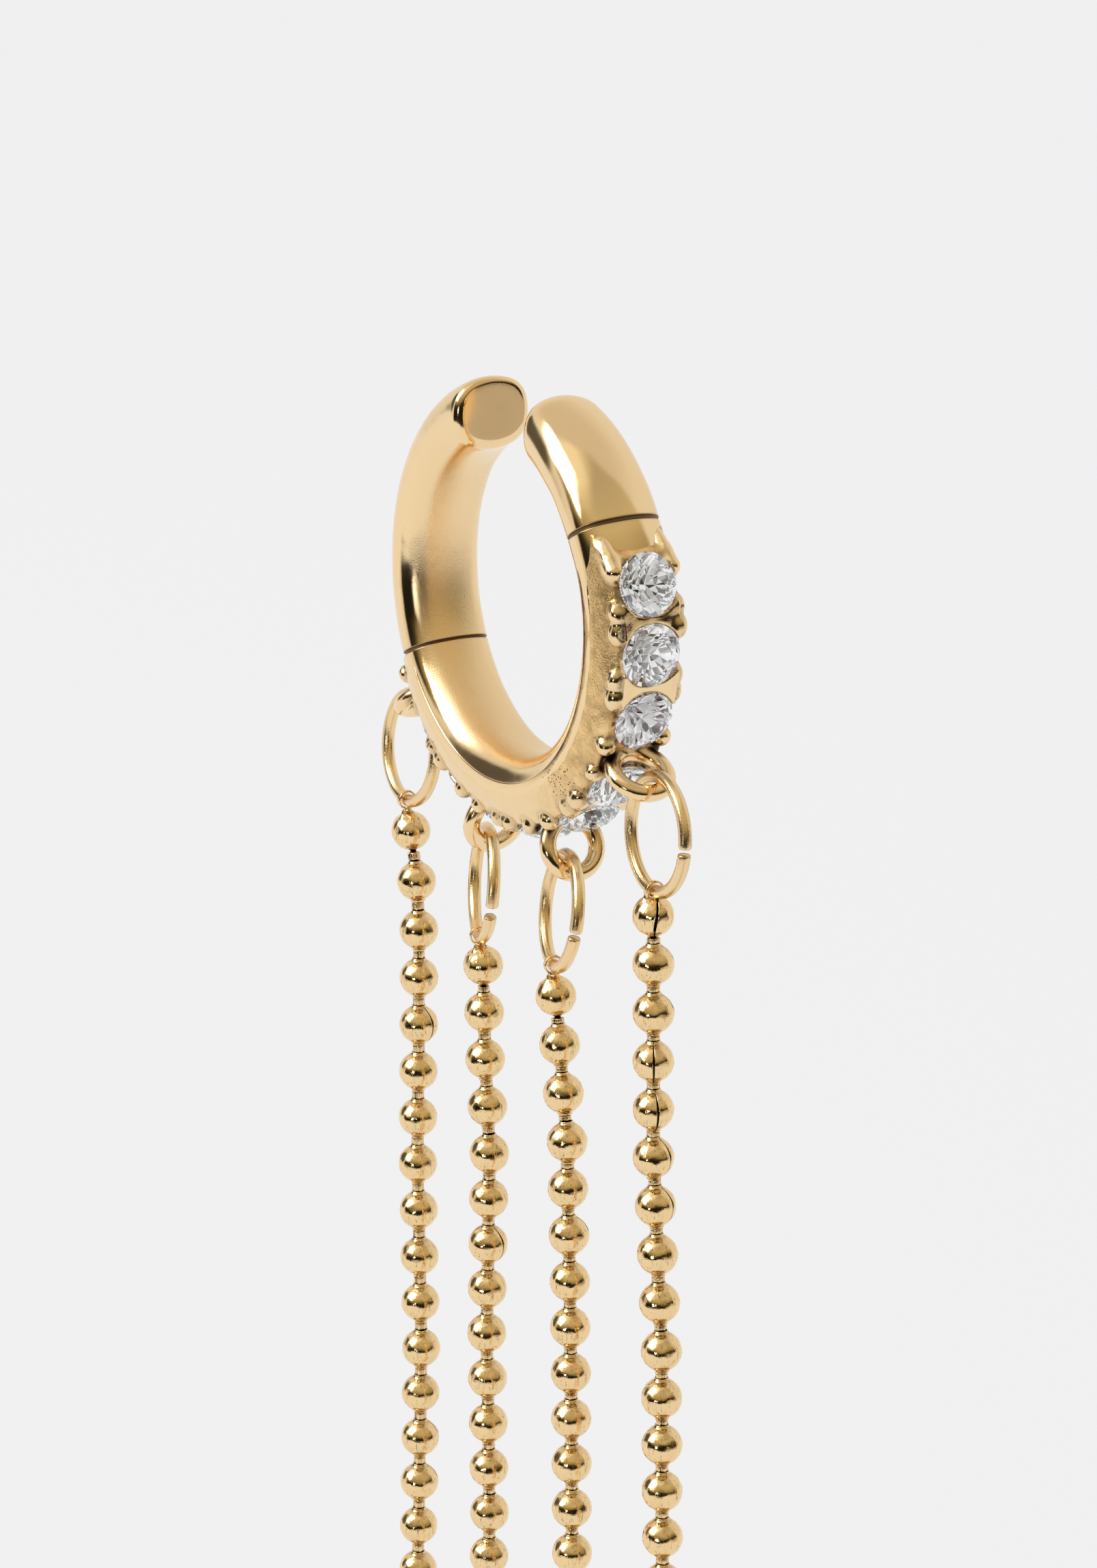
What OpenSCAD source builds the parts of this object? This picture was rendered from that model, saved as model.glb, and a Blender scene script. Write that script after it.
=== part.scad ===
// Chain ear cuff: an open oval-section hoop with a row of round stones set along
// its lower arc, four cast loops, and a jump ring with a ball chain on each loop.
// The hoop lies in the XZ plane round the origin, its opening at the top (+Z).
// Angles along the hoop are measured from +Z towards +X.

/* [Hoop] */
// Clear width inside the hoop
hoop_inner_d = 9.2; // [8:0.1:12]
// Thickness of the hoop, inside to outside
hoop_wall = 1.94; // [1.6:0.02:2.2]
// Width of the hoop along its axis
hoop_w = 2.68; // [2.4:0.02:3]
// Radius of the rounded sides of the hoop's section
side_r = 0.9; // [0.8:0.01:0.95]
// Angle from the top to the near tip
near_tip = 15; // [8:1:25]
// Angle from the top to the far tip
far_tip = 20; // [8:1:25]
// How far the arms' inner curve is off the hoop's centre, so that the arms thicken
swell = 0.75; // [0.2:0.05:1]
// Rounding of the near tip's edge
near_round = 1; // [0.5:0.05:1.1]
// Rounding of the far tip's edge
far_round = 0.7; // [0.3:0.05:1]
// Angle from the top to the groove on the near side
near_groove = 59; // [50:1:62]
// Angle from the top to the groove on the far side
far_groove = 118; // [112:1:122]
// Width of a groove
groove_w = 0.15; // [0.1:0.01:0.25]
// Depth of a groove
groove_deep = 0.1; // [0.05:0.01:0.2]

/* [Stones] */
// Diameter of a stone at its girdle
stone_d = 1.85; // [1.5:0.01:1.85]
// Distance from the hoop's centre to the girdle plane
girdle_r = 6.84; // [6.7:0.01:7]
// Gap between a stone and its seat
seat_gap = 0.02; // [0.01:0.01:0.05]

/* [Prongs] */
// Radius of a prong bead
prong_r = 0.27; // [0.2:0.01:0.3]
// Distance of the prong beads from the middle plane
prong_y = 0.91; // [0.85:0.01:1]
// Distance from the hoop's centre to the middle of a prong bead
prong_at = 6.62; // [6.5:0.01:6.75]
// Height of the bars between stones, from the hoop's centre
bar_top = 6.93; // [6.86:0.01:7]

/* [Loops] */
// Radius of a loop at the middle of its wire
loop_r = 0.81; // [0.75:0.01:0.9]
// Thickness of a loop's wire
loop_wire = 0.5; // [0.4:0.01:0.5]
// Distance from the hoop's centre to a loop's centre
loop_at = 7.39; // [7.3:0.01:7.5]

/* [Jump rings] */
// Radius of a jump ring at the middle of its wire
jump_r = 1.65; // [1.5:0.01:1.8]
// Thickness of a jump ring's wire
jump_wire = 0.38; // [0.3:0.01:0.4]
// Gap between a jump ring and what holds it
hang_gap = 0.03; // [0.02:0.01:0.05]

/* [Chains] */
// Diameter of a chain bead
bead_d = 1.2; // [1.1:0.01:1.25]
// Wall of a hollow bead
bead_wall = 0.15; // [0.12:0.01:0.16]
// Diameter of the holes in a bead
bead_hole = 0.35; // [0.3:0.01:0.36]
// Diameter of a pin between two beads
pin_d = 0.2; // [0.14:0.01:0.22]
// Diameter of a pin's heads
pin_head = 0.38; // [0.36:0.01:0.4]
// Thickness of the eye that holds a chain on its jump ring
eye_wire = 0.14; // [0.12:0.01:0.16]

/* [Hidden] */
$fn = 48;
ring_r = (hoop_inner_d + hoop_wall) / 2;
half_wall = hoop_wall / 2;
half_w = hoop_w / 2;

// Where the stones, the bars between them and the beads beside a loop sit
stone_at = [76, 93, 110, 132.5, 149.5, 169.4, 185.9, 205.5, 222.5];
bar_at = [84.5, 101.5, 141, 177.6, 214];
bar_spread = 2.3;
loop_bead_at = [117.3, 126.7, 155.6, 164.6, 190.4, 199.6, 228.9, 238.1];
// The loops, in the order of the chains: 1 is the farthest, 4 the nearest
loop_angle = [233.5, 195, 160.2, 122];
loop_lift = [0.16, 0.2, 0.06, 0];

// Columns of the jump ring table
HOOK_Y = 0;     // how far along the loop's wire the ring hangs
HOOK_TURN = 1;  // where on the ring the loop holds it, from the ring's +X side
YAW = 2;        // turn of the ring about the vertical
LEAN = 3;       // lean of the ring's upper half towards -Y
GAP_TURN = 4;   // where the ring's ends meet, from its +X side
GAP = 5;        // opening between the ring's ends
SLACK = 6;      // how much nearer the hoop the ring sits in its loop, because it hangs askew
jump = [[-0.1, 73, -3.6, -6, 24, 0.17, 0.18],
        [-0.2, 94, -21.1, -5.3, -15, 0.34, 0],
        [-0.2, 97, -15.7, -8.4, -9, 0.17, 0.04],
        [0.1, 121, -4.3, -3.5, -3, 0.17, 0.08]];

// Columns of the chain table
COUNT = 0;      // number of beads
DROP = 1;       // from the jump ring's wire to the middle of the first bead
PITCH = 2;      // distance from bead to bead
SWAY = 3;       // sideways drift along X, as [bead, offset] pairs
chain = [[18, 0.93, 1.53, [[0, 0.25], [1, 0.58], [2, 0.7], [3, 0.69], [7, 0.53], [11, 0.66], [17, 0.3]]],
         [16, 0.87, 1.472, [[0, 0.23], [2, 0.33], [4, 0.57], [8, 0.37], [12, 0.51], [15, 0.38]]],
         [15, 0.92, 1.441, [[0, 0.13], [3, 0.78], [6, 0.94], [9, 1.04], [14, 1.13]]],
         [16, 0.75, 1.45, [[0, -0.05], [5, 0.04], [9, 0.54], [15, 0.72]]]];

GOLD = [0.9, 0.74, 0.46];
PALE_GOLD = [0.93, 0.79, 0.54];
CLEAR = [0.86, 0.88, 0.92];

// A point at an angle along the hoop, r from its centre and y off its middle plane
function on_hoop(angle, r, y = 0) = [r * sin(angle), y, r * cos(angle)];

// Places a piece at an angle: its Z is outward, its X runs along the hoop
module at_angle(angle, r = 0) {
    rotate([0, angle, 0])
        translate([0, 0, r])
            children();
}

// Turns a section, radial along X and axial along Y, from one angle to another
module along_hoop(from, to) {
    rotate([90, 0, 0])
        rotate([0, 0, 90 - to])
            rotate_extrude(angle = to - from, $fn = 120)
                children();
}

// The hoop's oval section, made of four arcs and drawn inset all round
module oval(inset = 0, mid = ring_r) {
    a = half_wall - inset;
    r = side_r - inset;
    c = half_w - side_r;
    face_r = (a * a + c * c - r * r) / (2 * (a - r));
    reach = face_r * c / (face_r - r);
    union() {
        intersection() {
            translate([mid + a - face_r, 0])
                circle(face_r, $fn = 200);
            translate([mid - a + face_r, 0])
                circle(face_r, $fn = 200);
            translate([mid - a - 1, -reach])
                square([2 * a + 2, 2 * reach]);
        }
        for (side = [-1, 1])
            translate([mid, side * c])
                circle(r);
    }
}

// Thickens an arm on its inner side, from nothing at one angle to its tip
module tip_swell(from, to) {
    translate(on_hoop(from, swell))
        along_hoop(min(from + 8, to), max(from - 8, to))
            oval(0.03, ring_r - swell);
}

// Rounds a tip off: what lies outside a turned dome with a flat end is cut away
module tip_cutter(angle, way, rounding) {
    reach = half_wall + 0.2;
    at_angle(angle, ring_r - 0.08)
        rotate([0, -0.9 * (angle > 180 ? angle - 360 : angle), 0])
            scale([way, 1.24, 1])
                rotate([0, 90, 0])
                    difference() {
                        translate([0, 0, -2])
                            cylinder(r = 2, h = 2 + rounding);
                        rotate_extrude() {
                            translate([0, rounding])
                                square([reach, 2]);
                            square([reach - rounding, rounding + 1]);
                            intersection() {
                                translate([reach - rounding, rounding])
                                    circle(rounding);
                                square([reach, rounding]);
                            }
                        }
                    }
}

// A groove engraved round the hoop
module groove(angle) {
    turn = groove_w / ring_r * 180 / PI;
    along_hoop(angle - turn / 2, angle + turn / 2)
        difference() {
            translate([ring_r - 1.5, -2])
                square([3, 4]);
            oval(groove_deep);
        }
}

// The raised flanks and floor that carry the stones
module setting_wall() {
    along_hoop(66, 360 - far_groove - 2.5)
        polygon([[ring_r - 0.2, -half_w + 0.08], [5.85, -half_w + 0.02], [6.32, -1.2], [6.68, -1],
                 [6.68, 1], [6.32, 1.2], [5.85, half_w - 0.02], [ring_r - 0.2, half_w - 0.08]]);
}

// A bar across the row between two stones, and its two pairs of prong beads
module bar_and_prongs(angle) {
    at_angle(angle)
        translate([-0.55, -prong_y + 0.05, 6.2])
            cube([1.1, 2 * prong_y - 0.1, bar_top - 6.2]);
    for (side = [-1, 1], along = [-1, 1])
        translate(on_hoop(angle + along * bar_spread, prong_at, side * prong_y))
            sphere(prong_r);
}

// A long prong at the upper end of the row, on each side
module end_prong(side) {
    from = on_hoop(65.5, prong_at - 0.06, side * prong_y);
    long = 0.55;
    translate(from)
        rotate([0, 67.5 + 90, 0]) {
            sphere(prong_r - 0.03);
            cylinder(r = prong_r - 0.03, h = long);
            translate([0, 0, long])
                sphere(prong_r - 0.03);
        }
}

// A cast loop, a full ring across the hoop with its upper part in the metal
module hanging_loop(i) {
    at_angle(loop_angle[i], loop_at + loop_lift[i])
        rotate([0, 90, 0])
            rotate_extrude()
                translate([loop_r, 0])
                    circle(loop_wire / 2);
}

// Heights and radii of the round brilliant cut, for a stone of diameter 1
table_d = 0.57;
crown_h = (1 - table_d) / 2 * tan(34);
girdle_h = 0.03;
pavilion_h = tan(41) / 2;
crown_mid_r = 0.4;
pavilion_mid_r = 0.2;

// Heights of the ring of corners half-way up the crown, and half-way down the pavilion
function crown_mid_z() = girdle_h + crown_h
    - (crown_mid_r * cos(22.5) - table_d / 2) / (0.5 - table_d / 2) * crown_h;
function pavilion_mid_z() = -pavilion_h * (1 - 2 * pavilion_mid_r * cos(22.5));

// The stone's outline grown by a gap, as one turned body
module stone_space(gap) {
    girdle = girdle_h * stone_d;
    table_r = table_d * stone_d / 2;
    table_z = girdle + crown_h * stone_d;
    rotate_extrude()
        polygon([[0, -pavilion_h * stone_d - gap * 1.3],
                 [pavilion_mid_r * stone_d + gap, pavilion_mid_z() * stone_d - gap],
                 [stone_d / 2 + gap, -gap / 2], [stone_d / 2 + gap, girdle + gap / 2],
                 [crown_mid_r * stone_d + gap, crown_mid_z() * stone_d + gap],
                 [table_r + gap, table_z + gap], [table_r + gap, table_z + 0.3], [0, table_z + 0.3]]);
}

// A round brilliant, its girdle's lower edge at z = 0 and its table up
module brilliant(d) {
    half = 22.5;
    table_r = table_d / 2;
    rise = girdle_h + crown_h;
    function ring(n, r, z, turn) = [for (k = [0:n - 1])
        [r * cos(k * 360 / n + turn), r * sin(k * 360 / n + turn), z]];
    points = concat(
        ring(8, table_r, rise, half),
        ring(8, crown_mid_r, crown_mid_z(), 0),
        ring(16, 0.5, girdle_h, 0),
        ring(16, 0.5, 0, 0),
        ring(8, pavilion_mid_r, pavilion_mid_z(), 0),
        [[0, 0, -pavilion_h]]);
    t = function(k) (k + 8) % 8;
    m = function(k) 8 + (k + 8) % 8;
    g = function(k) 16 + (k + 16) % 16;
    u = function(k) 32 + (k + 16) % 16;
    p = function(k) 48 + (k + 8) % 8;
    culet = 56;
    faces = concat(
        [[for (k = [7:-1:0]) t(k)]],
        [for (k = [0:7]) [t(k - 1), t(k), m(k)]],
        [for (k = [0:7]) [t(k), m(k + 1), g(2 * k + 1), m(k)]],
        [for (k = [0:7]) [m(k), g(2 * k + 1), g(2 * k)]],
        [for (k = [0:7]) [m(k), g(2 * k), g(2 * k - 1)]],
        [for (k = [0:15]) [g(k), g(k + 1), u(k + 1), u(k)]],
        [for (k = [0:7]) [p(k), u(2 * k), u(2 * k + 1)]],
        [for (k = [0:7]) [p(k), u(2 * k - 1), u(2 * k)]],
        [for (k = [0:7]) [p(k), u(2 * k + 1), p(k + 1), culet]]);
    scale(d)
        polyhedron(points, faces);
}

module stone(i) {
    color(CLEAR)
        at_angle(stone_at[i], girdle_r)
            brilliant(stone_d);
}

module cuff() {
    color(GOLD)
        difference() {
            union() {
                along_hoop(near_tip, 360 - far_tip)
                    oval();
                tip_swell(near_groove, near_tip - 8);
                tip_swell(360 - 70, 360 - far_tip + 8);
                setting_wall();
                for (angle = bar_at)
                    bar_and_prongs(angle);
                for (angle = loop_bead_at, side = [-1, 1])
                    translate(on_hoop(angle, prong_at, side * prong_y))
                        sphere(prong_r - 0.02);
                for (side = [-1, 1])
                    end_prong(side);
                for (i = [0:3])
                    hanging_loop(i);
            }
            tip_cutter(near_tip, 1, near_round);
            tip_cutter(360 - far_tip, -1, far_round);
            groove(near_groove);
            groove(360 - far_groove);
            for (angle = stone_at)
                at_angle(angle, girdle_r)
                    stone_space(seat_gap);
        }
}

// The jump rings' own directions and places, worked out from where they hang
function ring_x(i) = [cos(jump[i][YAW]), sin(jump[i][YAW]), 0];
function ring_up(i) = [sin(jump[i][YAW]) * sin(jump[i][LEAN]),
                       -cos(jump[i][YAW]) * sin(jump[i][LEAN]), cos(jump[i][LEAN])];
function hook_r(i) = loop_at + loop_lift[i]
    + sqrt(pow(loop_r - loop_wire / 2 - jump_wire / 2 - hang_gap, 2) - pow(jump[i][HOOK_Y], 2))
    - jump[i][SLACK];
function hook(i) = on_hoop(loop_angle[i], hook_r(i), jump[i][HOOK_Y]);
function ring_center(i) = hook(i)
    - jump_r * (cos(jump[i][HOOK_TURN]) * ring_x(i) + sin(jump[i][HOOK_TURN]) * ring_up(i));
function ring_low(i) = ring_center(i) - jump_r * ring_up(i);

// A wire bent to a jump ring's circle, whole or open at its gap
module ring_wire(i, d, opening) {
    turn = opening / jump_r * 180 / PI;
    translate(ring_center(i))
        rotate([90 + jump[i][LEAN], 0, jump[i][YAW]])
            rotate([0, 0, jump[i][GAP_TURN] + turn / 2])
                rotate_extrude(angle = 360 - turn, $fn = 96)
                    translate([jump_r, 0])
                        circle(d / 2);
}

module jump_ring(i) {
    color(PALE_GOLD)
        ring_wire(i, jump_wire, jump[i][GAP]);
}

// Where the middle of a bead hangs, and how far the chain leans there
function bead_center(i, k) = ring_low(i)
    + [lookup(k, chain[i][SWAY]), 0, -chain[i][DROP] - k * chain[i][PITCH]];
function link_lean(i, k) = let (step = bead_center(i, k + 1) - bead_center(i, k))
    atan2(-step[0], -step[2]);
function bead_lean(i, k) = (link_lean(i, max(k - 1, 0)) + link_lean(i, min(k, chain[i][COUNT] - 2))) / 2;

// A hollow bead with a hole and a turned lip at each pole it is threaded through
module bead_shell() {
    lip_r = bead_hole / 2 + 0.06;
    sphere(bead_d / 2);
    for (pole = [-1, 1])
        translate([0, 0, pole * (bead_d / 2 - 0.03)])
            cylinder(r = lip_r, h = 0.12, center = true);
}

module bead(i, k) {
    translate(bead_center(i, k))
        rotate([0, bead_lean(i, k), 0])
            difference() {
                bead_shell();
                sphere(bead_d / 2 - bead_wall);
                if (k == chain[i][COUNT] - 1)
                    cylinder(d = bead_hole, h = bead_d);
                else
                    cylinder(d = bead_hole, h = 2 * bead_d, center = true);
            }
}

// The first bead: an eye on a short neck goes round the jump ring's wire
module first_bead(i) {
    clear = jump_wire / 2 + hang_gap;
    eye_r = clear + 0.01 + eye_wire / 2;
    neck = bead_center(i, 0) - ring_low(i);
    difference() {
        union() {
            difference() {
                translate(bead_center(i, 0))
                    sphere(bead_d / 2);
                ring_wire(i, 2 * clear, 0.02);
            }
            translate(ring_low(i)) {
                rotate([0, 90, jump[i][YAW]])
                    rotate_extrude()
                        translate([eye_r, 0])
                            circle(eye_wire / 2);
                rotate([0, atan2(neck[0], neck[2]), 0])
                    translate([0, 0, eye_r])
                        cylinder(d = eye_wire + 0.04, h = max(norm(neck) - bead_d / 2 + 0.1 - eye_r, 0.1));
            }
        }
        translate(bead_center(i, 0))
            rotate([0, link_lean(i, 0), 0]) {
                translate([0, 0, -0.05])
                    sphere(0.4);
                translate([0, 0, -bead_d])
                    cylinder(d = bead_hole, h = bead_d);
            }
    }
}

module chain_beads(i) {
    color(GOLD) {
        first_bead(i);
        for (k = [1:chain[i][COUNT] - 1])
            bead(i, k);
    }
}

// The pins, each from inside one bead to inside the next, with a round head at both ends
module chain_pins(i) {
    head_at = 0.27;
    pin_l = chain[i][PITCH] - 2 * head_at;
    color(PALE_GOLD)
        for (k = [0:chain[i][COUNT] - 2])
            translate((bead_center(i, k) + bead_center(i, k + 1)) / 2)
                rotate([0, link_lean(i, k), 0]) {
                    cylinder(d = pin_d, h = pin_l, center = true);
                    for (end = [-1, 1])
                        translate([0, 0, end * pin_l / 2])
                            sphere(pin_head / 2, $fn = 32);
                }
}

cuff();
stone(0);  // stone_1
stone(1);  // stone_2
stone(2);  // stone_3
stone(3);  // stone_4
stone(4);  // stone_5
stone(5);  // stone_6
stone(6);  // stone_7
stone(7);  // stone_8
stone(8);  // stone_9
jump_ring(0);  // jump_ring_1
jump_ring(1);  // jump_ring_2
jump_ring(2);  // jump_ring_3
jump_ring(3);  // jump_ring_4
chain_beads(0);  // chain_1_beads
chain_pins(0);  // chain_1_pins
chain_beads(1);  // chain_2_beads
chain_pins(1);  // chain_2_pins
chain_beads(2);  // chain_3_beads
chain_pins(2);  // chain_3_pins
chain_beads(3);  // chain_4_beads
chain_pins(3);  // chain_4_pins
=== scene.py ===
"""Looks of a chain ear cuff: hoop, cast stone row, cut stones, jump rings, ball chains and a pale studio."""

import math

import bpy
import numpy as np
from bpy.props import FloatProperty, FloatVectorProperty, PointerProperty
from mathutils import Matrix, Vector


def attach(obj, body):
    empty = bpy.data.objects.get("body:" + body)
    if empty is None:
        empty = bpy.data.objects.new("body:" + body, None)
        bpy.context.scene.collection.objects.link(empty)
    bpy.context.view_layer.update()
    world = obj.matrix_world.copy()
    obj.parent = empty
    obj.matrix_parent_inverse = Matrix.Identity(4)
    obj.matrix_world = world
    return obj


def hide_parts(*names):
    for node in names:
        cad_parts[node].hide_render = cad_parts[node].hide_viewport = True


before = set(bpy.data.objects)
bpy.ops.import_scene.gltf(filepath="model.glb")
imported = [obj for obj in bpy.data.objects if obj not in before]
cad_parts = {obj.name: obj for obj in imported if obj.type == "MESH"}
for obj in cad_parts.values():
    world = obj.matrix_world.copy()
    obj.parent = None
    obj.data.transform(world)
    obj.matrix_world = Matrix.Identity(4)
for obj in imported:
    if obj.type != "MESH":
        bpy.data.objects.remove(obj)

bl_info = {
    "name": "Chain ear cuff",
    "version": (1, 0, 0),
    "blender": (4, 5, 0),
    "location": "View3D > Sidebar > Ear cuff",
    "description": "Builds the visible surfaces of a gold ear cuff with a stone row and four ball chains",
    "category": "Add Mesh",
}

MM = 0.001

# Where everything sits: distances in millimetres, and angles in degrees along the hoop from its top

RING_R = 5.57                    # hoop centre to the middle of its section
HALF_WALL = 0.97                 # half the hoop's thickness
SIDE_R, SIDE_C = 0.9, 0.44       # the hoop's rounded sides: radius, and their centres off the middle plane
NEAR_ARM, FAR_ARM = 59, 290      # past these the two arms are drawn out of the round
GROOVE_AT = (59.0, 242.0)
ROW_FROM, ROW_TO = 61.5, 241.5
ROW_CLEAR = (70.2, 232)          # between these the hoop keeps clear of the stones' seats
ROW_INNER_R = 5.37               # the cast row's underside, hidden inside the hoop
GIRDLE_R = 6.84                  # hoop centre to the stones' girdles
STONE_AT = [76, 93, 110, 132.5, 149.5, 169.4, 185.9, 205.5, 222.5]
BAR_AT = [84.5, 101.5, 141, 177.6, 214]
BAR_R = 6.5
BAR_SPREAD = 2.3                 # how far a bar's prong beads stand to each side of its middle
LOOP_BEAD_AT = [117.3, 126.7, 155.6, 164.6, 190.4, 199.6, 228.9, 238.1]
PRONG_AT, PRONG_Y = 6.62, 0.91   # the prong beads' middles: from the hoop's centre, and off the middle plane
# The loops, from the farthest to the nearest: their angles, the middles of their rings and how much farther
# out than that each one stands, then the radius of a ring at the middle of its wire and the wire's thickness
LOOP_ANGLE = [233.5, 195, 160.2, 122]
LOOP_AT = 7.39
LOOP_LIFT = [0.16, 0.2, 0.06, 0]
LOOP_RADIUS, LOOP_WIRE = 0.81, 0.5
# The jump rings, from the farthest to the nearest: where each hangs in its loop, how it is turned and its gap
JUMP = [
    dict(hook_y=-0.1, hook_turn=73, yaw=-3.6, lean=-6, gap_turn=24, gap=0.17, slack=0.18),
    dict(hook_y=-0.2, hook_turn=94, yaw=-21.1, lean=-5.3, gap_turn=-15, gap=0.34, slack=0),
    dict(hook_y=-0.2, hook_turn=97, yaw=-15.7, lean=-8.4, gap_turn=-9, gap=0.17, slack=0.04),
    dict(hook_y=0.1, hook_turn=121, yaw=-4.3, lean=-3.5, gap_turn=-3, gap=0.17, slack=0.08),
]
# The chains: number of beads, drop to the first, pitch, and the sideways drift as bead and offset pairs
CHAIN = [
    dict(count=18, drop=0.93, pitch=1.53,
         sway=[(0, 0.25), (1, 0.58), (2, 0.7), (3, 0.69), (7, 0.53), (11, 0.66), (17, 0.3)]),
    dict(count=16, drop=0.87, pitch=1.472,
         sway=[(0, 0.23), (2, 0.33), (4, 0.57), (8, 0.37), (12, 0.51), (15, 0.38)]),
    dict(count=15, drop=0.92, pitch=1.441, sway=[(0, 0.13), (3, 0.78), (6, 0.94), (9, 1.04), (14, 1.13)]),
    dict(count=16, drop=0.75, pitch=1.45, sway=[(0, -0.05), (5, 0.04), (9, 0.54), (15, 0.72)]),
]
# How the fourth to seventh bead of each chain is turned, in radians, which says where its seam shows
SEAM_TURN = [[4.0, 1.9, 5.0, 3.3], [2.8, 4.4, 3.6, 1.95], [3.1, 5.2, 2.5, 4.1], [1.04, 1.25, 2.0, 2.05]]


def on_hoop(angle, r, y=0.0):
    """A point at an angle along the hoop, in millimetres."""
    a = math.radians(angle)
    return np.array([r * math.sin(a), y, r * math.cos(a)])


def round_hoop(p):
    """How far points are from the hoop's axis, and their angles along the hoop."""
    return np.hypot(p[:, 0], p[:, 2]), np.degrees(np.arctan2(p[:, 0], p[:, 2])) % 360


def ease(t):
    """Takes 0 to 1 with a soft start and end."""
    return t * t * (3 - 2 * t)


# Solids as distance fields, in millimetres


def blend_in(a, b, soft):
    """Union of two fields with a cast fillet of that size where they meet."""
    h = np.clip(0.5 + 0.5 * (b - a) / soft, 0, 1)
    return b + (a - b) * h - soft * h * (1 - h)


def carve(a, b, soft):
    """What is left of a where b is cut away, with the cut's edge broken by that much."""
    return -blend_in(-a, b, soft)


def ball_field(p, centre, radius):
    return np.linalg.norm(p - centre, axis=-1) - radius


def share_along(p, a, b):
    """How far each point lies along the line from a to b, from 0 to 1."""
    ab = b - a
    return np.clip(((p - a) @ ab) / (ab @ ab), 0, 1)


def peg_field(p, a, b, radius):
    """A round-ended peg from a to b."""
    return np.linalg.norm(p - a - share_along(p, a, b)[..., None] * (b - a), axis=-1) - radius


def torus_field(p, centre, axis, radius, wire):
    v = p - centre
    along = v @ axis
    across = np.sqrt(np.maximum((v * v).sum(-1) - along ** 2, 0))
    return np.hypot(across - radius, along) - wire


def ripple(p, size, seed):
    """Soft uneven surface, about -1 to 1, whose bumps are size across."""
    rng = np.random.default_rng(seed)
    total = np.zeros(p.shape[:-1])
    for _ in range(9):
        way = rng.normal(size=3)
        way *= 2 * math.pi / size / np.linalg.norm(way) * rng.uniform(0.6, 1.5)
        total += np.sin(p @ way + rng.uniform(0, 2 * math.pi))
    return total / 4


def near_only(p, d, centre, reach, change):
    """Applies a change to the field only round a centre, which keeps big fields quick."""
    sel = np.abs(p - centre).max(-1) < reach
    if sel.any():
        d[sel] = change(p[sel], d[sel])


def slope(verts, field, step=0.004):
    """The field at some points and its outward direction there."""
    g = np.stack([field(verts + step * e) - field(verts - step * e) for e in np.eye(3)], -1)
    return field(verts), g / np.maximum(np.linalg.norm(g, axis=-1, keepdims=True), 1e-9)


def hollows(verts, field, reach):
    """How shut in each point is by the metal round it, from 0 in the open to 1 deep in a crevice."""
    _, out = slope(verts, field)
    return np.clip((reach - field(verts + reach * out)) / reach * 1.25, 0, 1)


def box_grid(low, high, cell):
    """A grid of points that fills a box."""
    axes = [np.arange(a, b + cell, cell) for a, b in zip(low, high)]
    return np.stack(np.meshgrid(*axes, indexing="ij"), -1)


def skin(points, field, settle=3):
    """Draws the smooth closed skin of a field over a grid of points. Returns vertices and quads."""
    n0, n1, n2, _ = points.shape
    value = field(points.reshape(-1, 3)).reshape(n0, n1, n2)
    inside = value < 0
    corner = [(i, j, k) for i in (0, 1) for j in (0, 1) for k in (0, 1)]
    # every cell that the surface passes through gets one vertex, numbered in order
    count = sum(inside[i:n0 - 1 + i, j:n1 - 1 + j, k:n2 - 1 + k].astype(np.int8) for i, j, k in corner)
    cell = (count > 0) & (count < len(corner))
    ci, cj, ck = np.nonzero(cell)
    number = np.full(cell.shape, -1, np.int64)
    number[ci, cj, ck] = np.arange(len(ci))
    # the vertex lies in the middle of the places where the surface cuts the cell's edges
    total, hits = np.zeros((len(ci), 3)), np.zeros(len(ci))
    for a in corner:
        for axis in range(3):
            if a[axis]:
                continue
            b = list(a)
            b[axis] = 1
            from_a, from_b = ((ci + c[0], cj + c[1], ck + c[2]) for c in (a, b))
            va, vb = value[from_a], value[from_b]
            cut = (va < 0) != (vb < 0)
            t = np.where(cut, va / np.where(cut, va - vb, 1), 0)[:, None]
            total += np.where(cut[:, None], points[from_a] + t * (points[from_b] - points[from_a]), 0)
            hits += cut
    verts = total / hits[:, None]
    # every grid edge that the surface cuts gets a quad between the four cells round it
    quads = []
    for axis in range(3):
        u, v = [x for x in range(3) if x != axis]
        lo, hi = [slice(1, -1)] * 3, [slice(1, -1)] * 3
        lo[axis], hi[axis] = slice(0, -1), slice(1, None)
        a, b = inside[tuple(lo)], inside[tuple(hi)]
        base = np.array(np.nonzero(a != b)).T
        out = a[tuple(base.T)]
        base[:, [u, v]] += 1
        around = []
        for du, dv in ((-1, -1), (0, -1), (0, 0), (-1, 0)):
            q = base.copy()
            q[:, u] += du
            q[:, v] += dv
            around.append(number[tuple(q.T)])
        quad = np.stack(around, 1)
        flip = out if axis != 1 else ~out
        quads.append(np.where(flip[:, None], quad, quad[:, ::-1]))
    quads = np.concatenate(quads)
    start = points[0, 1, 1]
    steps = [points[1, 1, 1] - start, points[0, 2, 1] - start, points[0, 1, 2] - start]
    if np.linalg.det(steps) < 0:
        quads = quads[:, ::-1]
    # the vertices are settled on to the field itself
    for _ in range(settle):
        d, way = slope(verts, field)
        verts = verts - np.clip(d, -0.03, 0.03)[:, None] * way
    return verts, quads


# Meshes


def paint(piece, name, values, domain="POINT"):
    """Writes a number on each point or face, which the finish reads by that name."""
    piece.data.attributes.new(name, "FLOAT", domain).data.foreach_set("value", np.asarray(values, np.float32))


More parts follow.
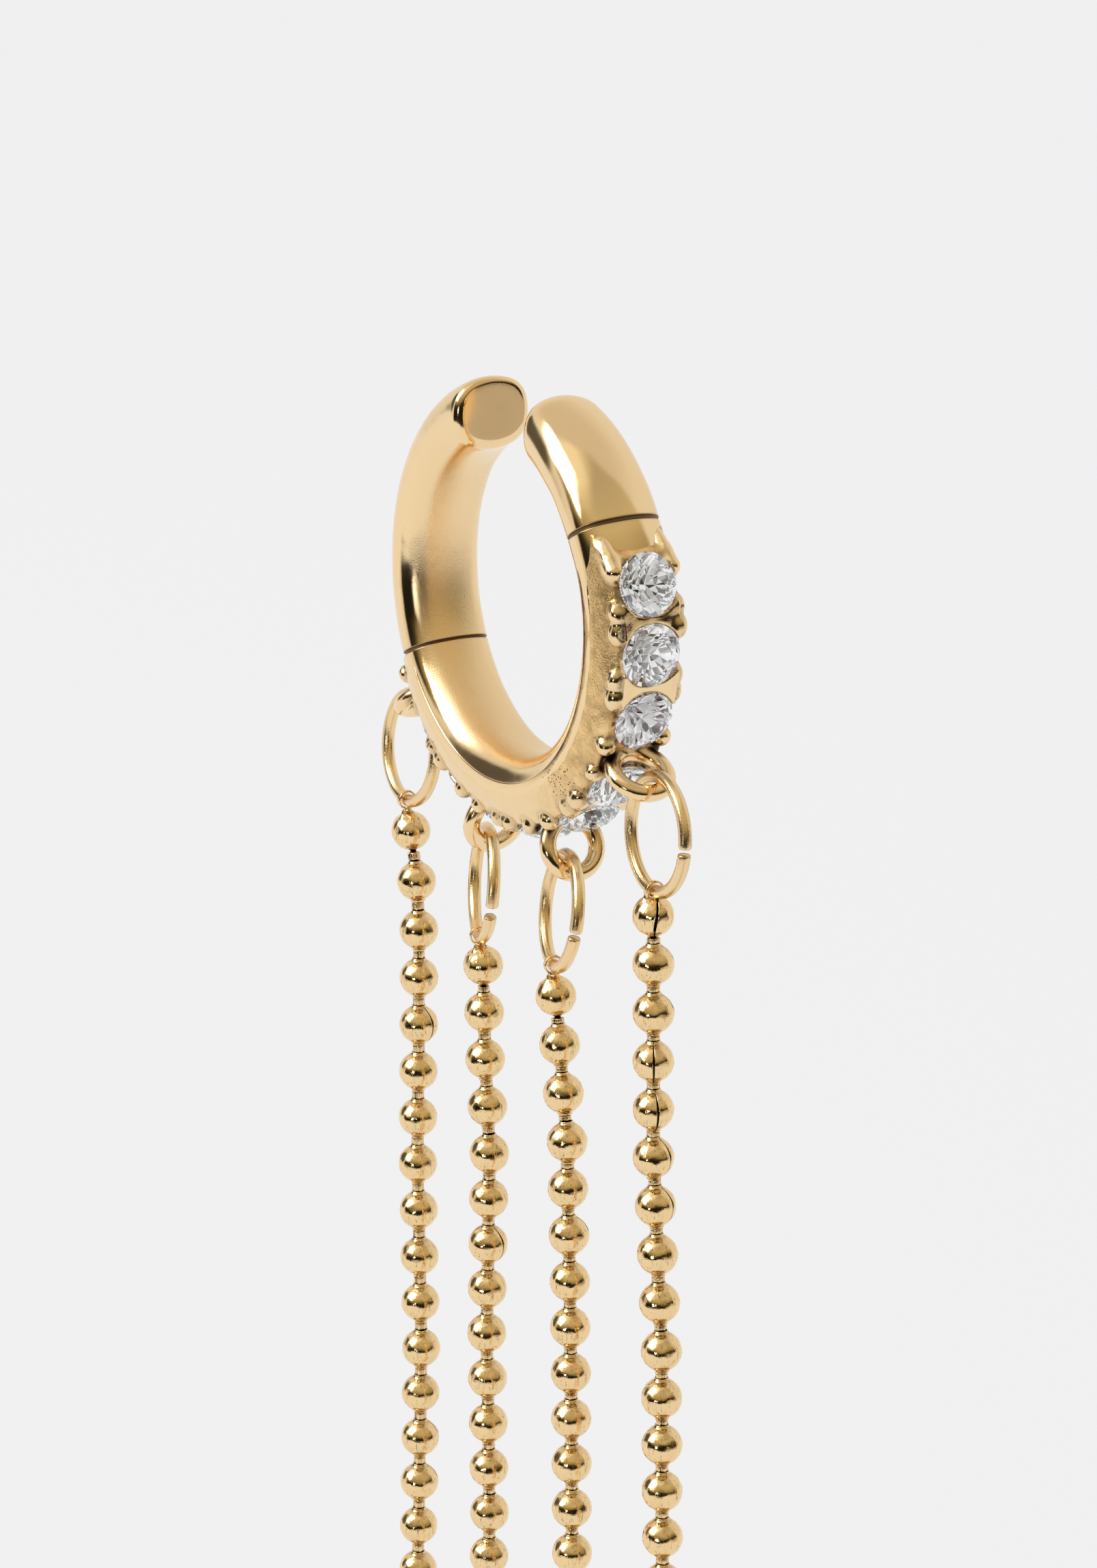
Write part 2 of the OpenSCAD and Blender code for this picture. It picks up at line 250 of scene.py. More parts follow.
def make_piece(name, verts, faces, material, soot_and_shade=None, smooth=True):
    """A mesh piece from points in millimetres and a list of face arrays, each with one number of corners."""
    mesh = bpy.data.meshes.new(name)
    verts = np.asarray(verts, float) * MM
    mesh.vertices.add(len(verts))
    mesh.vertices.foreach_set("co", verts.astype(np.float32).ravel())
    loops = np.concatenate([f.ravel() for f in faces]).astype(np.int32)
    sizes = np.concatenate([np.full(len(f), f.shape[1], np.int32) for f in faces])
    mesh.loops.add(len(loops))
    mesh.loops.foreach_set("vertex_index", loops)
    mesh.polygons.add(len(sizes))
    mesh.polygons.foreach_set("loop_start", np.concatenate([[0], np.cumsum(sizes)[:-1]]).astype(np.int32))
    mesh.polygons.foreach_set("loop_total", sizes)
    mesh.update(calc_edges=True)
    mesh.validate()
    mesh.polygons.foreach_set("use_smooth", np.full(len(mesh.polygons), smooth))
    mesh.materials.append(material)
    piece = bpy.data.objects.new(name, mesh)
    bpy.context.collection.objects.link(piece)
    if soot_and_shade is not None:
        paint(piece, "soot_and_shade", soot_and_shade)
    return piece


def face_outwards(piece):
    """Turns a closed mesh right side out if its volume is negative."""
    mesh = piece.data
    mesh.calc_loop_triangles()
    co = np.zeros(len(mesh.vertices) * 3)
    mesh.vertices.foreach_get("co", co)
    tri = np.zeros(len(mesh.loop_triangles) * 3, np.int32)
    mesh.loop_triangles.foreach_get("vertices", tri)
    a, b, c = co.reshape(-1, 3)[tri.reshape(-1, 3)].transpose(1, 0, 2)
    if (a * np.cross(b, c)).sum() < 0:
        mesh.flip_normals()


def tube_faces(rows, around, closed=False):
    """Quads over rows of points that go round a tube."""
    r = np.arange(rows if closed else rows - 1)[:, None]
    c = np.arange(around)[None, :]
    here, there, right = r * around, (r + 1) % rows * around, (c + 1) % around
    return np.stack([here + c, here + right, there + right, there + c], -1).reshape(-1, 4)


def cap_faces(rows, around):
    """Triangles that close both ends of a tube, about two middle points that come after its rows."""
    c = np.arange(around)
    right, last, middle = (c + 1) % around, (rows - 1) * around, np.full(around, rows * around)
    start, end = np.stack([middle, right, c], 1), np.stack([middle + 1, last + c, last + right], 1)
    return np.concatenate([start, end])


# Materials


def linear(hex_colour):
    """sRGB hex to a linear colour."""
    raw = [int(hex_colour[i:i + 2], 16) / 255 for i in (1, 3, 5)]
    return [c / 12.92 if c <= 0.04045 else ((c + 0.055) / 1.055) ** 2.4 for c in raw] + [1.0]


def marks(size_mm):
    """The scale of a pattern whose marks are that many millimetres across."""
    return 1 / MM / size_mm


def add(tree, kind, inputs=None, **settings):
    """Adds a node with its settings. An input is another node's socket to link, or a value to set."""
    node = tree.nodes.new(kind)
    for key, value in settings.items():
        setattr(node, key, value)
    for key, value in (inputs or {}).items():
        if isinstance(value, bpy.types.NodeSocket):
            tree.links.new(value, node.inputs[key])
        else:
            node.inputs[key].default_value = value
    return node


def add_stops(ramp, colours):
    """Gives a colour ramp its stops, as position and hex pairs of which the first two are its ends."""
    stops = ramp.color_ramp.elements
    for n, (position, colour) in enumerate(colours):
        stop = stops[n] if n < 2 else stops.new(position)
        stop.position, stop.color = position, linear(colour)


def new_material(name):
    material = bpy.data.materials.new(name)
    material.use_nodes = True
    material.node_tree.nodes.clear()
    return material, material.node_tree


def soot_shade_and_grain(tree, grain_mm):
    """The shared start of every gold finish: place on the object, soot and painted shade, the metal's fine
    grain.
    """
    place = add(tree, "ShaderNodeTexCoord").outputs["Object"]
    soot_and_shade = add(tree, "ShaderNodeAttribute", attribute_name="soot_and_shade").outputs["Fac"]
    grain = add(tree, "ShaderNodeTexNoise", {
        "Vector": place, "Scale": marks(grain_mm), "Detail": 3.0, "Roughness": 0.6})
    return place, soot_and_shade, grain.outputs["Fac"]


def polished_gold():
    """Polished 14 ct gold."""
    # The eye gets a clear warm mirror with the faint orange peel a wheel leaves, and brown soot and painted
    # shade in grooves
    material, t = new_material("polished_14ct_gold")
    place, soot_and_shade, grain = soot_shade_and_grain(t, 0.04)
    cloud = add(t, "ShaderNodeTexNoise", {"Vector": place, "Scale": marks(1.11), "Detail": 2.0})
    # the wheel's haze: where the polish is duller it scatters a little more
    haze = add(t, "ShaderNodeMapRange", {"Value": cloud.outputs["Fac"], "To Min": 0.05, "To Max": 0.17})
    # inside the hoop the wheel hardly reaches, so the grain stays
    satin = add(t, "ShaderNodeAttribute", attribute_name="satin").outputs["Fac"]
    dull = add(t, "ShaderNodeMath", {0: satin, 1: 0.2, 2: haze.outputs[0]}, operation="MULTIPLY_ADD")
    rough = add(t, "ShaderNodeMath", {0: soot_and_shade, 1: 0.45, 2: dull.outputs[0]}, operation="MULTIPLY_ADD")
    # soot and painted shade: the gold browns where the grooves' attribute is high
    tone = add(t, "ShaderNodeMix", {
        "Factor": soot_and_shade, "A": bpy.context.scene.ear_cuff_hoop.gold, "B": linear("#5A3A1C")}, data_type="RGBA")
    relief = add(t, "ShaderNodeMapRange", {"Value": satin, "To Min": 0.05, "To Max": 0.6})
    peel = add(t, "ShaderNodeBump", {"Height": grain, "Strength": relief.outputs[0], "Distance": 0.02 * MM})
    gold = add(t, "ShaderNodeBsdfPrincipled", {
        "Base Color": tone.outputs["Result"], "Roughness": rough.outputs[0], "Normal": peel.outputs[0],
        "Metallic": 1.0})
    add(t, "ShaderNodeOutputMaterial", {"Surface": gold.outputs[0]})
    return material


def cast_gold():
    """As-cast 14 ct gold."""
    # The eye gets a satin, lumpy and pitted skin on the flanks, burnished beads, and brown soot and painted
    # shade in crevices
    material, t = new_material("cast_14ct_gold")
    place, soot_and_shade, grain = soot_shade_and_grain(t, 0.07)
    lumps = add(t, "ShaderNodeTexNoise", {
        "Vector": place, "Scale": marks(0.385), "Detail": 4.0, "Roughness": 0.65}).outputs["Fac"]
    skin_left = add(t, "ShaderNodeAttribute", attribute_name="rough_skin").outputs["Fac"]
    # burnished on what stands proud, dull where the wheel never reached
    dull = add(t, "ShaderNodeMapRange", {"Value": skin_left, "To Min": 0.12, "To Max": 0.24})
    worn = add(t, "ShaderNodeMath", {0: soot_and_shade, 1: 0.3, 2: dull.outputs[0]}, operation="MULTIPLY_ADD")
    # small round pits, where the pits attribute allows them: dented by the bump, and painted black for the
    # shade inside them
    cell = add(t, "ShaderNodeTexVoronoi", {"Vector": place, "Scale": marks(0.091)})
    pick = add(t, "ShaderNodeSeparateColor", {0: cell.outputs["Color"]})
    pitted = add(t, "ShaderNodeAttribute", attribute_name="pits").outputs["Fac"]
    allowed = add(t, "ShaderNodeMath", {0: pitted, 1: pick.outputs[0]}, operation="SUBTRACT")
    chosen = add(t, "ShaderNodeMapRange", {"Value": allowed.outputs[0], "From Min": 0.2, "From Max": 0.3})
    spot = add(t, "ShaderNodeMapRange", {
        "Value": cell.outputs["Distance"], "From Min": 0.34, "From Max": 0.22})
    pit_dent_and_shade = add(t, "ShaderNodeMath", {0: chosen.outputs[0], 1: spot.outputs[0]}, operation="MULTIPLY")
    # brown staining in the low spots of the skin
    stain = add(t, "ShaderNodeMapRange", {
        "Value": lumps, "From Min": 0.36, "From Max": 0.72, "To Max": 0.42})
    # the crevices' soot and painted shade are added to the stain
    stain_and_shade = add(t, "ShaderNodeMath", {0: stain.outputs[0], 1: skin_left, 2: soot_and_shade}, operation="MULTIPLY_ADD")
    dirt_and_shade = add(t, "ShaderNodeMath", {0: stain_and_shade.outputs[0], 1: pit_dent_and_shade.outputs[0]}, operation="MAXIMUM")
    # light bounces twice in a rough skin, which deepens the gold
    deepened = add(t, "ShaderNodeMix", {
        "Factor": skin_left, "A": bpy.context.scene.ear_cuff_hoop.gold, "B": linear("#FAD292")},
        data_type="RGBA")
    # stain, soot, pits and painted shade darken the gold towards deep brown
    tone = add(t, "ShaderNodeMix", {
        "Factor": dirt_and_shade.outputs[0], "A": deepened.outputs["Result"], "B": linear("#3F270F")}, data_type="RGBA")
    rise = add(t, "ShaderNodeMix", {"Factor": 0.35, "A": grain, "B": lumps})
    deep = add(t, "ShaderNodeMath", {0: rise.outputs[0], 1: pit_dent_and_shade.outputs[0]}, operation="SUBTRACT")
    strength = add(t, "ShaderNodeMapRange", {"Value": skin_left, "To Min": 0.15, "To Max": 1.0})
    peel = add(t, "ShaderNodeBump", {
        "Height": deep.outputs[0], "Strength": strength.outputs[0], "Distance": 0.03 * MM})
    gold = add(t, "ShaderNodeBsdfPrincipled", {
        "Base Color": tone.outputs["Result"], "Roughness": worn.outputs[0], "Normal": peel.outputs[0],
        "Metallic": 1.0})
    add(t, "ShaderNodeOutputMaterial", {"Surface": gold.outputs[0]})
    return material


def drawn_gold():
    """Drawn 14 ct gold wire."""
    # The eye gets a bright wire with the fine lines of the draw plate, darker in its scratches, and painted
    # shade where pins go into beads
    material, t = new_material("drawn_gold_wire")
    _, soot_and_shade, grain = soot_shade_and_grain(t, 0.05)
    # soot and painted shade brown the wire
    tone = add(t, "ShaderNodeMix", {
        "Factor": soot_and_shade, "A": bpy.context.scene.ear_cuff_rings.gold, "B": linear("#4B2F16")}, data_type="RGBA")
    dull = add(t, "ShaderNodeMapRange", {"Value": grain, "To Min": 0.1, "To Max": 0.32})
    peel = add(t, "ShaderNodeBump", {"Height": grain, "Strength": 0.3, "Distance": 0.02 * MM})
    gold = add(t, "ShaderNodeBsdfPrincipled", {
        "Base Color": tone.outputs["Result"], "Roughness": dull.outputs[0], "Normal": peel.outputs[0],
        "Metallic": 1.0})
    add(t, "ShaderNodeOutputMaterial", {"Surface": gold.outputs[0]})
    return material


def rolled_gold():
    """Rolled 14 ct gold sheet, closed into beads."""
    # The eye gets bright, faintly creased balls, with painted shade inside their seams, creases, holes and
    # hollows
    material, t = new_material("rolled_gold_sheet")
    place, soot_and_shade, grain = soot_shade_and_grain(t, 0.05)
    dull = add(t, "ShaderNodeMapRange", {"Value": grain, "To Min": 0.04, "To Max": 0.15})
    # the rolled sheet is drawn out along the chain, so its marks are tall and narrow. The real ones are
    # about 0.01 mm wide and wouldn't show, so these are coarser
    tall = add(t, "ShaderNodeMapping", {"Vector": place, "Scale": (1, 1, 0.14)})
    drawn = add(t, "ShaderNodeTexNoise", {"Vector": tall.outputs[0], "Scale": marks(0.0625), "Detail": 2.0})
    both = add(t, "ShaderNodeMix", {"Factor": 0.6, "A": grain, "B": drawn.outputs["Fac"]})
    # brown polish left in the deepest marks
    left = add(t, "ShaderNodeMapRange", {
        "Value": both.outputs[0], "From Min": 0.45, "From Max": 0.3, "To Max": 0.75})
    dirt_and_shade = add(t, "ShaderNodeMath", {0: soot_and_shade, 1: left.outputs[0]}, operation="MAXIMUM")
    # soot and painted shade darken the sheet almost to black
    tone = add(t, "ShaderNodeMix", {
        "Factor": dirt_and_shade.outputs[0], "A": bpy.context.scene.ear_cuff_chains.gold, "B": linear("#1E1409")},
        data_type="RGBA")
    peel = add(t, "ShaderNodeBump", {"Height": both.outputs[0], "Strength": 0.28, "Distance": 0.03 * MM})
    gold = add(t, "ShaderNodeBsdfPrincipled", {
        "Base Color": tone.outputs["Result"], "Roughness": dull.outputs[0], "Normal": peel.outputs[0],
        "Metallic": 1.0})
    add(t, "ShaderNodeOutputMaterial", {"Surface": gold.outputs[0]})
    return material


def zirconia_with_painted_glints():
    """Cut clear zirconia, whose facets under the girdle carry painted dark and bright glints and glow."""
    # The eye gets painted white and grey glints split small by the cut, with a little painted red fire
    material, t = new_material("zirconia_painted_glints_finish")
    place = add(t, "ShaderNodeTexCoord").outputs["Object"]
    cut = add(t, "ShaderNodeAttribute", attribute_name="cut").outputs["Fac"]
    clear = add(t, "ShaderNodeBsdfPrincipled", {
        "Base Color": linear("#FCFCFD"), "Roughness": 0.0, "IOR": 2.15, "Transmission Weight": 1.0})
    # under the girdle every facet splits again into painted bright and dark patches, a painted reflection of
    # its neighbours
    patch = add(t, "ShaderNodeTexVoronoi", {"Vector": place, "Scale": marks(0.3125)})
    split = add(t, "ShaderNodeSeparateColor", {0: patch.outputs["Color"]})
    chance = add(t, "ShaderNodeMath", {0: split.outputs[0], 1: cut}, operation="ADD")
    turned = add(t, "ShaderNodeMath", {0: chance.outputs[0]}, operation="FRACT")
    painted_glint = add(t, "ShaderNodeValToRGB", {0: turned.outputs[0]})
    painted_glint.color_ramp.interpolation = "CONSTANT"
    add_stops(painted_glint, [(0, "#353332"), (0.84, "#FFFFFF"), (0.09, "#858382"), (0.27, "#C6C5C3"),
                      (0.42, "#A3A2A0"), (0.56, "#EDECEA"), (0.72, "#7E5348"), (0.76, "#D8D7D5")])
    # painted light: the facets under the girdle are a mirror tinted by the painted patches, mixed mostly with
    # the patches' own glow, though no lamp is there
    mirror = add(t, "ShaderNodeBsdfPrincipled", {
        "Base Color": painted_glint.outputs[0], "Roughness": 0.02, "Metallic": 1.0})
    glow = add(t, "ShaderNodeEmission", {"Color": painted_glint.outputs[0], "Strength": 0.98})
    back = add(t, "ShaderNodeMixShader", {0: 0.8, 1: mirror.outputs[0], 2: glow.outputs[0]})
    below = add(t, "ShaderNodeMath", {0: cut, 1: 0.001}, operation="GREATER_THAN")
    both = add(t, "ShaderNodeMixShader", {0: below.outputs[0], 1: clear.outputs[0], 2: back.outputs[0]})
    add(t, "ShaderNodeOutputMaterial", {"Surface": both.outputs[0]})
    return material


def pale_paper():
    """Matt pale studio paper."""
    # The eye gets one even soft grey-white
    material, t = new_material("pale_studio_paper")
    paper = add(t, "ShaderNodeBsdfPrincipled", {
        "Base Color": linear("#606060"), "Roughness": 0.9, "Emission Color": linear("#EEEFF2"),
        "Emission Strength": 0.87})
    add(t, "ShaderNodeOutputMaterial", {"Surface": paper.outputs[0]})
    return material


FINISH = {}


def finish_of(maker):
    """Each finish is made once and shared by the pieces that have it."""
    if maker.__name__ not in FINISH:
        FINISH[maker.__name__] = maker()
    return FINISH[maker.__name__]


# The hoop


def oval_section(count, inset, wall):
    """The hoop's oval section: points (radial, axial) round its middle."""
    a, r, c = wall - inset, SIDE_R - inset, SIDE_C
    # each flat face is one large arc, which meets the two side arcs at (jx, jy)
    big = (a * a + c * c - r * r) / (2 * (a - r))
    jx, jy = a - big + big * (big - a) / (big - r), big * c / (big - r)
    turn = np.linspace(0, 2 * math.pi, count, endpoint=False)
    x, y = np.cos(turn), np.sin(turn)
    ax, ay = np.abs(x), np.abs(y)
    face = (a - big) * ax + np.sqrt(np.maximum(big ** 2 - ((a - big) * ay) ** 2, 0))
    side = c * ay + np.sqrt(np.maximum(r ** 2 - (c * ax) ** 2, 0))
    reach = np.where(np.arctan2(ay, ax) < math.atan2(jy, jx), face, side)
    return np.stack([x * reach, y * reach], -1)


class HoopSettings(bpy.types.PropertyGroup):
    near_tip: FloatProperty(
        name="Near tip", description="Angle from the top to the near tip",
        default=math.radians(13.6), subtype="ANGLE")
    far_tip: FloatProperty(
        name="Far tip", description="Angle from the top to the far tip",
        default=math.radians(19.3), subtype="ANGLE")
    groove_width: FloatProperty(
        name="Groove width", description="Width of the engraved grooves",
        default=0.12 * MM, unit="LENGTH", precision=6)
    groove_depth: FloatProperty(
        name="Groove depth", description="Depth of the engraved grooves",
        default=0.08 * MM, unit="LENGTH", precision=6)
    belly: FloatProperty(
        name="Belly", description="How much fuller the near arm is at mid-length",
        default=0.03, min=0, max=0.1)
    swell: FloatProperty(
        name="Swell", description="How far the arms' inner curve is off the hoop's centre",
        default=0.75 * MM, unit="LENGTH", precision=6)
    gold: FloatVectorProperty(
        name="Gold", description="Colour of the polished gold",
        default=linear("#F9DBAA"), size=4, min=0, max=1, subtype="COLOR")


def hoop_angles(near, far, half_groove):
    """The angles at which the hoop's section is drawn: close at the grooves and at both tips."""
    near_dome, far_dome = 11, 9
    angles = list(np.arange(near + near_dome, far - far_dome, 1.15))
    past_edge, inside_edge = (0.5, 0.15, 0.03), (0.05, 0.2)
    for g in GROOVE_AT:
        angles = [a for a in angles if abs(a - g) > half_groove + 0.7]
        angles += [g + side * (half_groove + e) for side in (-1, 1) for e in past_edge]
        angles += [g + side * (half_groove - e) for side in (-1, 1) for e in inside_edge] + [g]
    k = np.linspace(0, 1, 26)[:-1]
    angles += list(near + near_dome * k[1:] ** 2) + list(far - far_dome * k ** 2)
    return sorted(angles)


def groove_cut(a, half, depth):
    """How deep the engraved grooves are at an angle, and the soot and painted shade in and beside them."""
    inset, dirt_and_shade = 0.0, 0.0
    for g in GROOVE_AT:
        off = abs(a - g)
        if off < half:
            # the groove and a band beside it are darkened: tarnish and painted shade
            inset, dirt_and_shade = depth * min(1.0, (half - off) / 0.18), 0.85
        elif off < half + 0.6:
            dirt_and_shade = max(dirt_and_shade, 0.35 * (1 - (off - half) / 0.6) ** 2)
    return inset, dirt_and_shade


def arm_drift(a, swell):
    """How far an arm's inner curve has left the round at an angle, past the stretch beside its groove."""
    past = max(NEAR_ARM - a, a - FAR_ARM, 0)
    return max(0, swell * (1 - math.cos(math.radians(past))) - 0.03 * min(1, past / 12))


def rounded_tips(section, gap_near, gap_far):
    """Narrows a section near the tips and closes it over them: the near tip is domed, the far one flatter."""
    shift = 0.0
    if gap_near < 2.4:
        section[:, 1] *= 1 - 0.09 * (1 - gap_near / 2.4) ** 1.5
        shift = 0.05 * (1 - gap_near / 2.4)
    if gap_far < 1.6:
        section[:, 1] *= 1 - 0.06 * (1 - gap_far / 1.6)
        shift = -0.1 * (1 - gap_far / 1.6)
    if gap_near < 0.85:
        section *= (1 - (1 - gap_near / 0.85) ** 2.6) ** (1 / 2.6)
    if gap_far < 0.36:
        section *= 0.75 + 0.25 * (1 - (1 - gap_far / 0.36) ** 2.2) ** (1 / 2.2)
    return shift


def hoop_ring(a, near, far, around, half_groove, s):
    """One ring of points round the hoop at an angle, with its soot and painted shade, and its satin."""
    inset, dirt_and_shade = groove_cut(a, half_groove, s.groove_depth / MM)
    section = oval_section(around, inset, HALF_WALL)
    # the arms are drawn out between their two curves, and a little fuller at mid-length
    drift = arm_drift(a, s.swell / MM)
    section[:, 0] += drift / 2 * np.sin(np.clip(section[:, 0] / 0.5, -1, 1) * math.pi / 2)
    belly = s.belly * math.sin(math.pi * min(1, max(0, (NEAR_ARM - a) / 48)))
    # the near groove lies on a slightly thicker collar
    collar = 0.045 * math.exp(-((a - 58) / 12) ** 2)
    section *= 1 + belly + collar
    # the ends level out, so that they face each other across the opening
    lean, left_near, left_far = a, a - near, far - a
    for left, sign, top in ((left_near, 1, near), (left_far, -1, 360 - far)):
        if left < 30:
            lean -= sign * 0.9 * top * (0.5 + 0.5 * math.cos(math.pi * left / 30))
    shift = rounded_tips(section, *(math.radians(v) * RING_R for v in (left_near, left_far)))
    if ROW_CLEAR[0] < a < ROW_CLEAR[1]:
        deep = 0.2 + 0.77 * max(0, 1 - min(a - ROW_CLEAR[0], ROW_CLEAR[1] - a) / 5.8)
        hidden = section[:, 0] > deep
        section[hidden] = np.stack([np.full(hidden.sum(), deep), section[hidden, 1] * 0.95], 1)
    ring = on_hoop(a, RING_R - drift / 2, shift) + section[:, :1] * on_hoop(lean, 1)
    ring = ring + section[:, 1:] * np.array([0, 1, 0])
    reach = np.clip((min(left_near, left_far) - 8) / 30, 0, 1)
    satin = np.clip(-2.4 * section[:, 0] / HALF_WALL - 1.2, 0, 1) * reach
    return ring, np.full(around, dirt_and_shade), satin


class CUFF_OT_hoop(bpy.types.Operator):
    """The polished hoop: its oval section swept between the rounded tips, with both engraved grooves"""

    bl_idname = "cuff.hoop"
    bl_label = "Polished hoop"

    def execute(self, context):
        s = context.scene.ear_cuff_hoop
        near, far = math.degrees(s.near_tip), 360 - math.degrees(s.far_tip)
        half_groove = math.degrees(s.groove_width / MM / 2 / RING_R)
        around = 132
        rings = [hoop_ring(a, near, far, around, half_groove, s) for a in hoop_angles(near, far, half_groove)]
        rows, soot_and_shade, satin = (list(part) for part in zip(*rings))
        last = rows[-1]
        middle = last.mean(0)
        # the far tip's flat end face
        for shrink in (0.8, 0.6, 0.4, 0.2, 0.05):
            rows.append(middle + (last - middle) * shrink)
            soot_and_shade.append(np.zeros(around))
            satin.append(np.zeros(around))
        verts = np.concatenate(rows + [rows[0].mean(0)[None], middle[None]])
        # hand polishing leaves the surface slightly wavy
        core, _ = round_hoop(verts)
        spoke = verts * np.stack([1 - RING_R / core, np.ones(len(verts)), 1 - RING_R / core], -1)
        spoke /= np.maximum(np.linalg.norm(spoke, axis=1, keepdims=True), 0.2)
        verts = verts + spoke * (0.004 * ripple(verts, 1.7, 11) + 0.0012 * ripple(verts, 0.5, 12))[:, None]
        faces = [tube_faces(len(rows), around), cap_faces(len(rows), around)]
        piece = make_piece("polished_hoop", verts, faces, finish_of(polished_gold),
                           np.concatenate(soot_and_shade + [[0, 0]]))
        paint(piece, "satin", np.concatenate(satin + [[0, 0]]))
        face_outwards(piece)
        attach(piece, "root")
        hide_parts("cuff")
        return {"FINISHED"}


# The stone row, cast in one with its loops


class RowSettings(bpy.types.PropertyGroup):
    cell: FloatProperty(
        name="Mesh size", description="Size of the row's mesh cells",
        default=0.052 * MM, unit="LENGTH", precision=6)
    prong: FloatProperty(
        name="Prong bead", description="Radius of a prong bead",
        default=0.32 * MM, unit="LENGTH", precision=6)
    loop_wire: FloatProperty(
        name="Loop wire", description="Thickness of a cast loop's wire",
        default=LOOP_WIRE * MM, unit="LENGTH", precision=6)
    loop_radius: FloatProperty(
        name="Loop radius", description="Radius of a cast loop at the middle of its wire",
        default=LOOP_RADIUS * MM, unit="LENGTH", precision=6)
    stone: FloatProperty(
        name="Stone", description="Diameter of a stone at its girdle",
        default=1.85 * MM, unit="LENGTH", precision=6)
    fillet: FloatProperty(
        name="Fillet", description="Size of the cast fillets between the row's features",
        default=0.09 * MM, unit="LENGTH", precision=6)


def unpolished(turn):
    """How much casting skin is left at an angle along the hoop: the lower half was polished with the hoop."""
    return 1 - 0.92 * ease(np.clip((turn - 128) / 34, 0, 1))


def row_body(p):
    """The row's plain body as a distance field: two sloping flanks and the floor between the stones."""
    r, turn = round_hoop(p)
    # it starts and ends flush with the hoop
    rise = ease(np.clip(np.minimum(turn - 61, 242.5 - turn) / 9, 0, 1))
    y = np.abs(p[:, 1]) + 0.07 * (1 - rise)
    # the flanks stand 1.32 off the middle plane, lean in from 5.85 out, and are chamfered at the top
    d = np.maximum(y - (1.32 + (5.85 - r) * 0.06), (y - 1.32) * 0.969 + (r - 5.85) * 0.247)
    d = -blend_in(-d, -((y - 1.2) * 0.874 + (r - 6.32) * 0.486), 0.04)
    floor = ease(np.clip(np.minimum(turn - 64, 240 - turn) / 5, 0, 1))
    d = -blend_in(-d, -(r - 6.3 - 0.38 * floor), 0.08)
    d = np.maximum(d, ROW_INNER_R - r)
    return np.maximum(d, np.maximum(ROW_FROM - turn, turn - ROW_TO) * math.pi / 180 * 6.3)


def bar_block(p, bar):
    """A bar between two stones, its top dished between its prong beads."""
    v = p - on_hoop(bar, BAR_R)
    across, height, side = np.abs(v @ on_hoop(bar + 90, 1)), v @ on_hoop(bar, 1), np.abs(v[:, 1])
    block = np.maximum(np.maximum(across - 0.55, side - 0.9), height - 0.43)
    return np.maximum(block, height - 0.36 - 0.09 * (side / 0.8) ** 2)


def prong_beads(prong):
    """Every prong bead, the bars' first: its middle, its upward direction, its radius and its height."""
    rng = np.random.default_rng(7)
    places = [(bar + along * BAR_SPREAD, side, prong)
              for bar in BAR_AT for side in (-1, 1) for along in (-1, 1)]
    places += [(angle, side, prong - 0.02) for angle in LOOP_BEAD_AT for side in (-1, 1)]
    beads = []
    for angle, side, radius in places:
        turn, high, off = rng.uniform(-0.3, 0.3), rng.uniform(-0.02, 0.02), rng.uniform(-0.02, 0.02)
        middle = on_hoop(angle + turn, PRONG_AT + high, side * (PRONG_Y + off))
        beads.append((middle, on_hoop(angle, 1), radius * rng.uniform(0.94, 1.05), rng.uniform(0.85, 1.15)))
    return beads


def prong_bead(p, n, middle, out, size, tall):
    """One prong bead as it was raised from the metal."""
    v = p - middle
    height = v @ out
    v = v + height[:, None] * out * (1 / tall - 1)
    way = np.cross(out, [0, 1, 0])
    if n < 4 * len(BAR_AT):
        # the beads of a bar are raised as pairs and lean on each other
        v = v - (v @ way)[:, None] * way * 0.2
    depth = np.linalg.norm(v, axis=-1)
    if n % 3 == 1:
        # the beading tool's cup leaves a ring and a flat top
        flat = np.maximum(depth - size, height - size * 0.78)
        return carve(flat, torus_field(p, middle + out * size * 0.8, out, size * 0.52, 0.022), 0.015)
    if n % 5 == 2:
        # a split across the bead
        return carve(depth - size, np.maximum(np.abs(v @ way) - 0.012, size - 0.06 - depth), 0.03)
    return depth - size


def end_prong(p, a, b, prong):
    """A long prong that grows out of the collar at a and lies along the first stone to b."""
    return peg_field(p, a, b, 0) - 0.2 - (prong - 0.22) * np.sqrt(share_along(p, a, b))


def stone_seat(p, angle, stone_r):
    """What a stone takes out of the row: its pavilion, girdle and crown with a hair's gap round it."""
    v = p - on_hoop(angle, GIRDLE_R)
    h = v @ on_hoop(angle, 1)
    across = np.sqrt(np.maximum((v * v).sum(-1) - h * h, 0))
    beside = across - stone_r - 0.02
    body = np.maximum(np.maximum(beside * 0.755 - h * 0.656, beside), beside * 0.56 + (h - 0.09) * 0.83)
    return np.minimum(body, np.maximum(across - 0.6, -h))


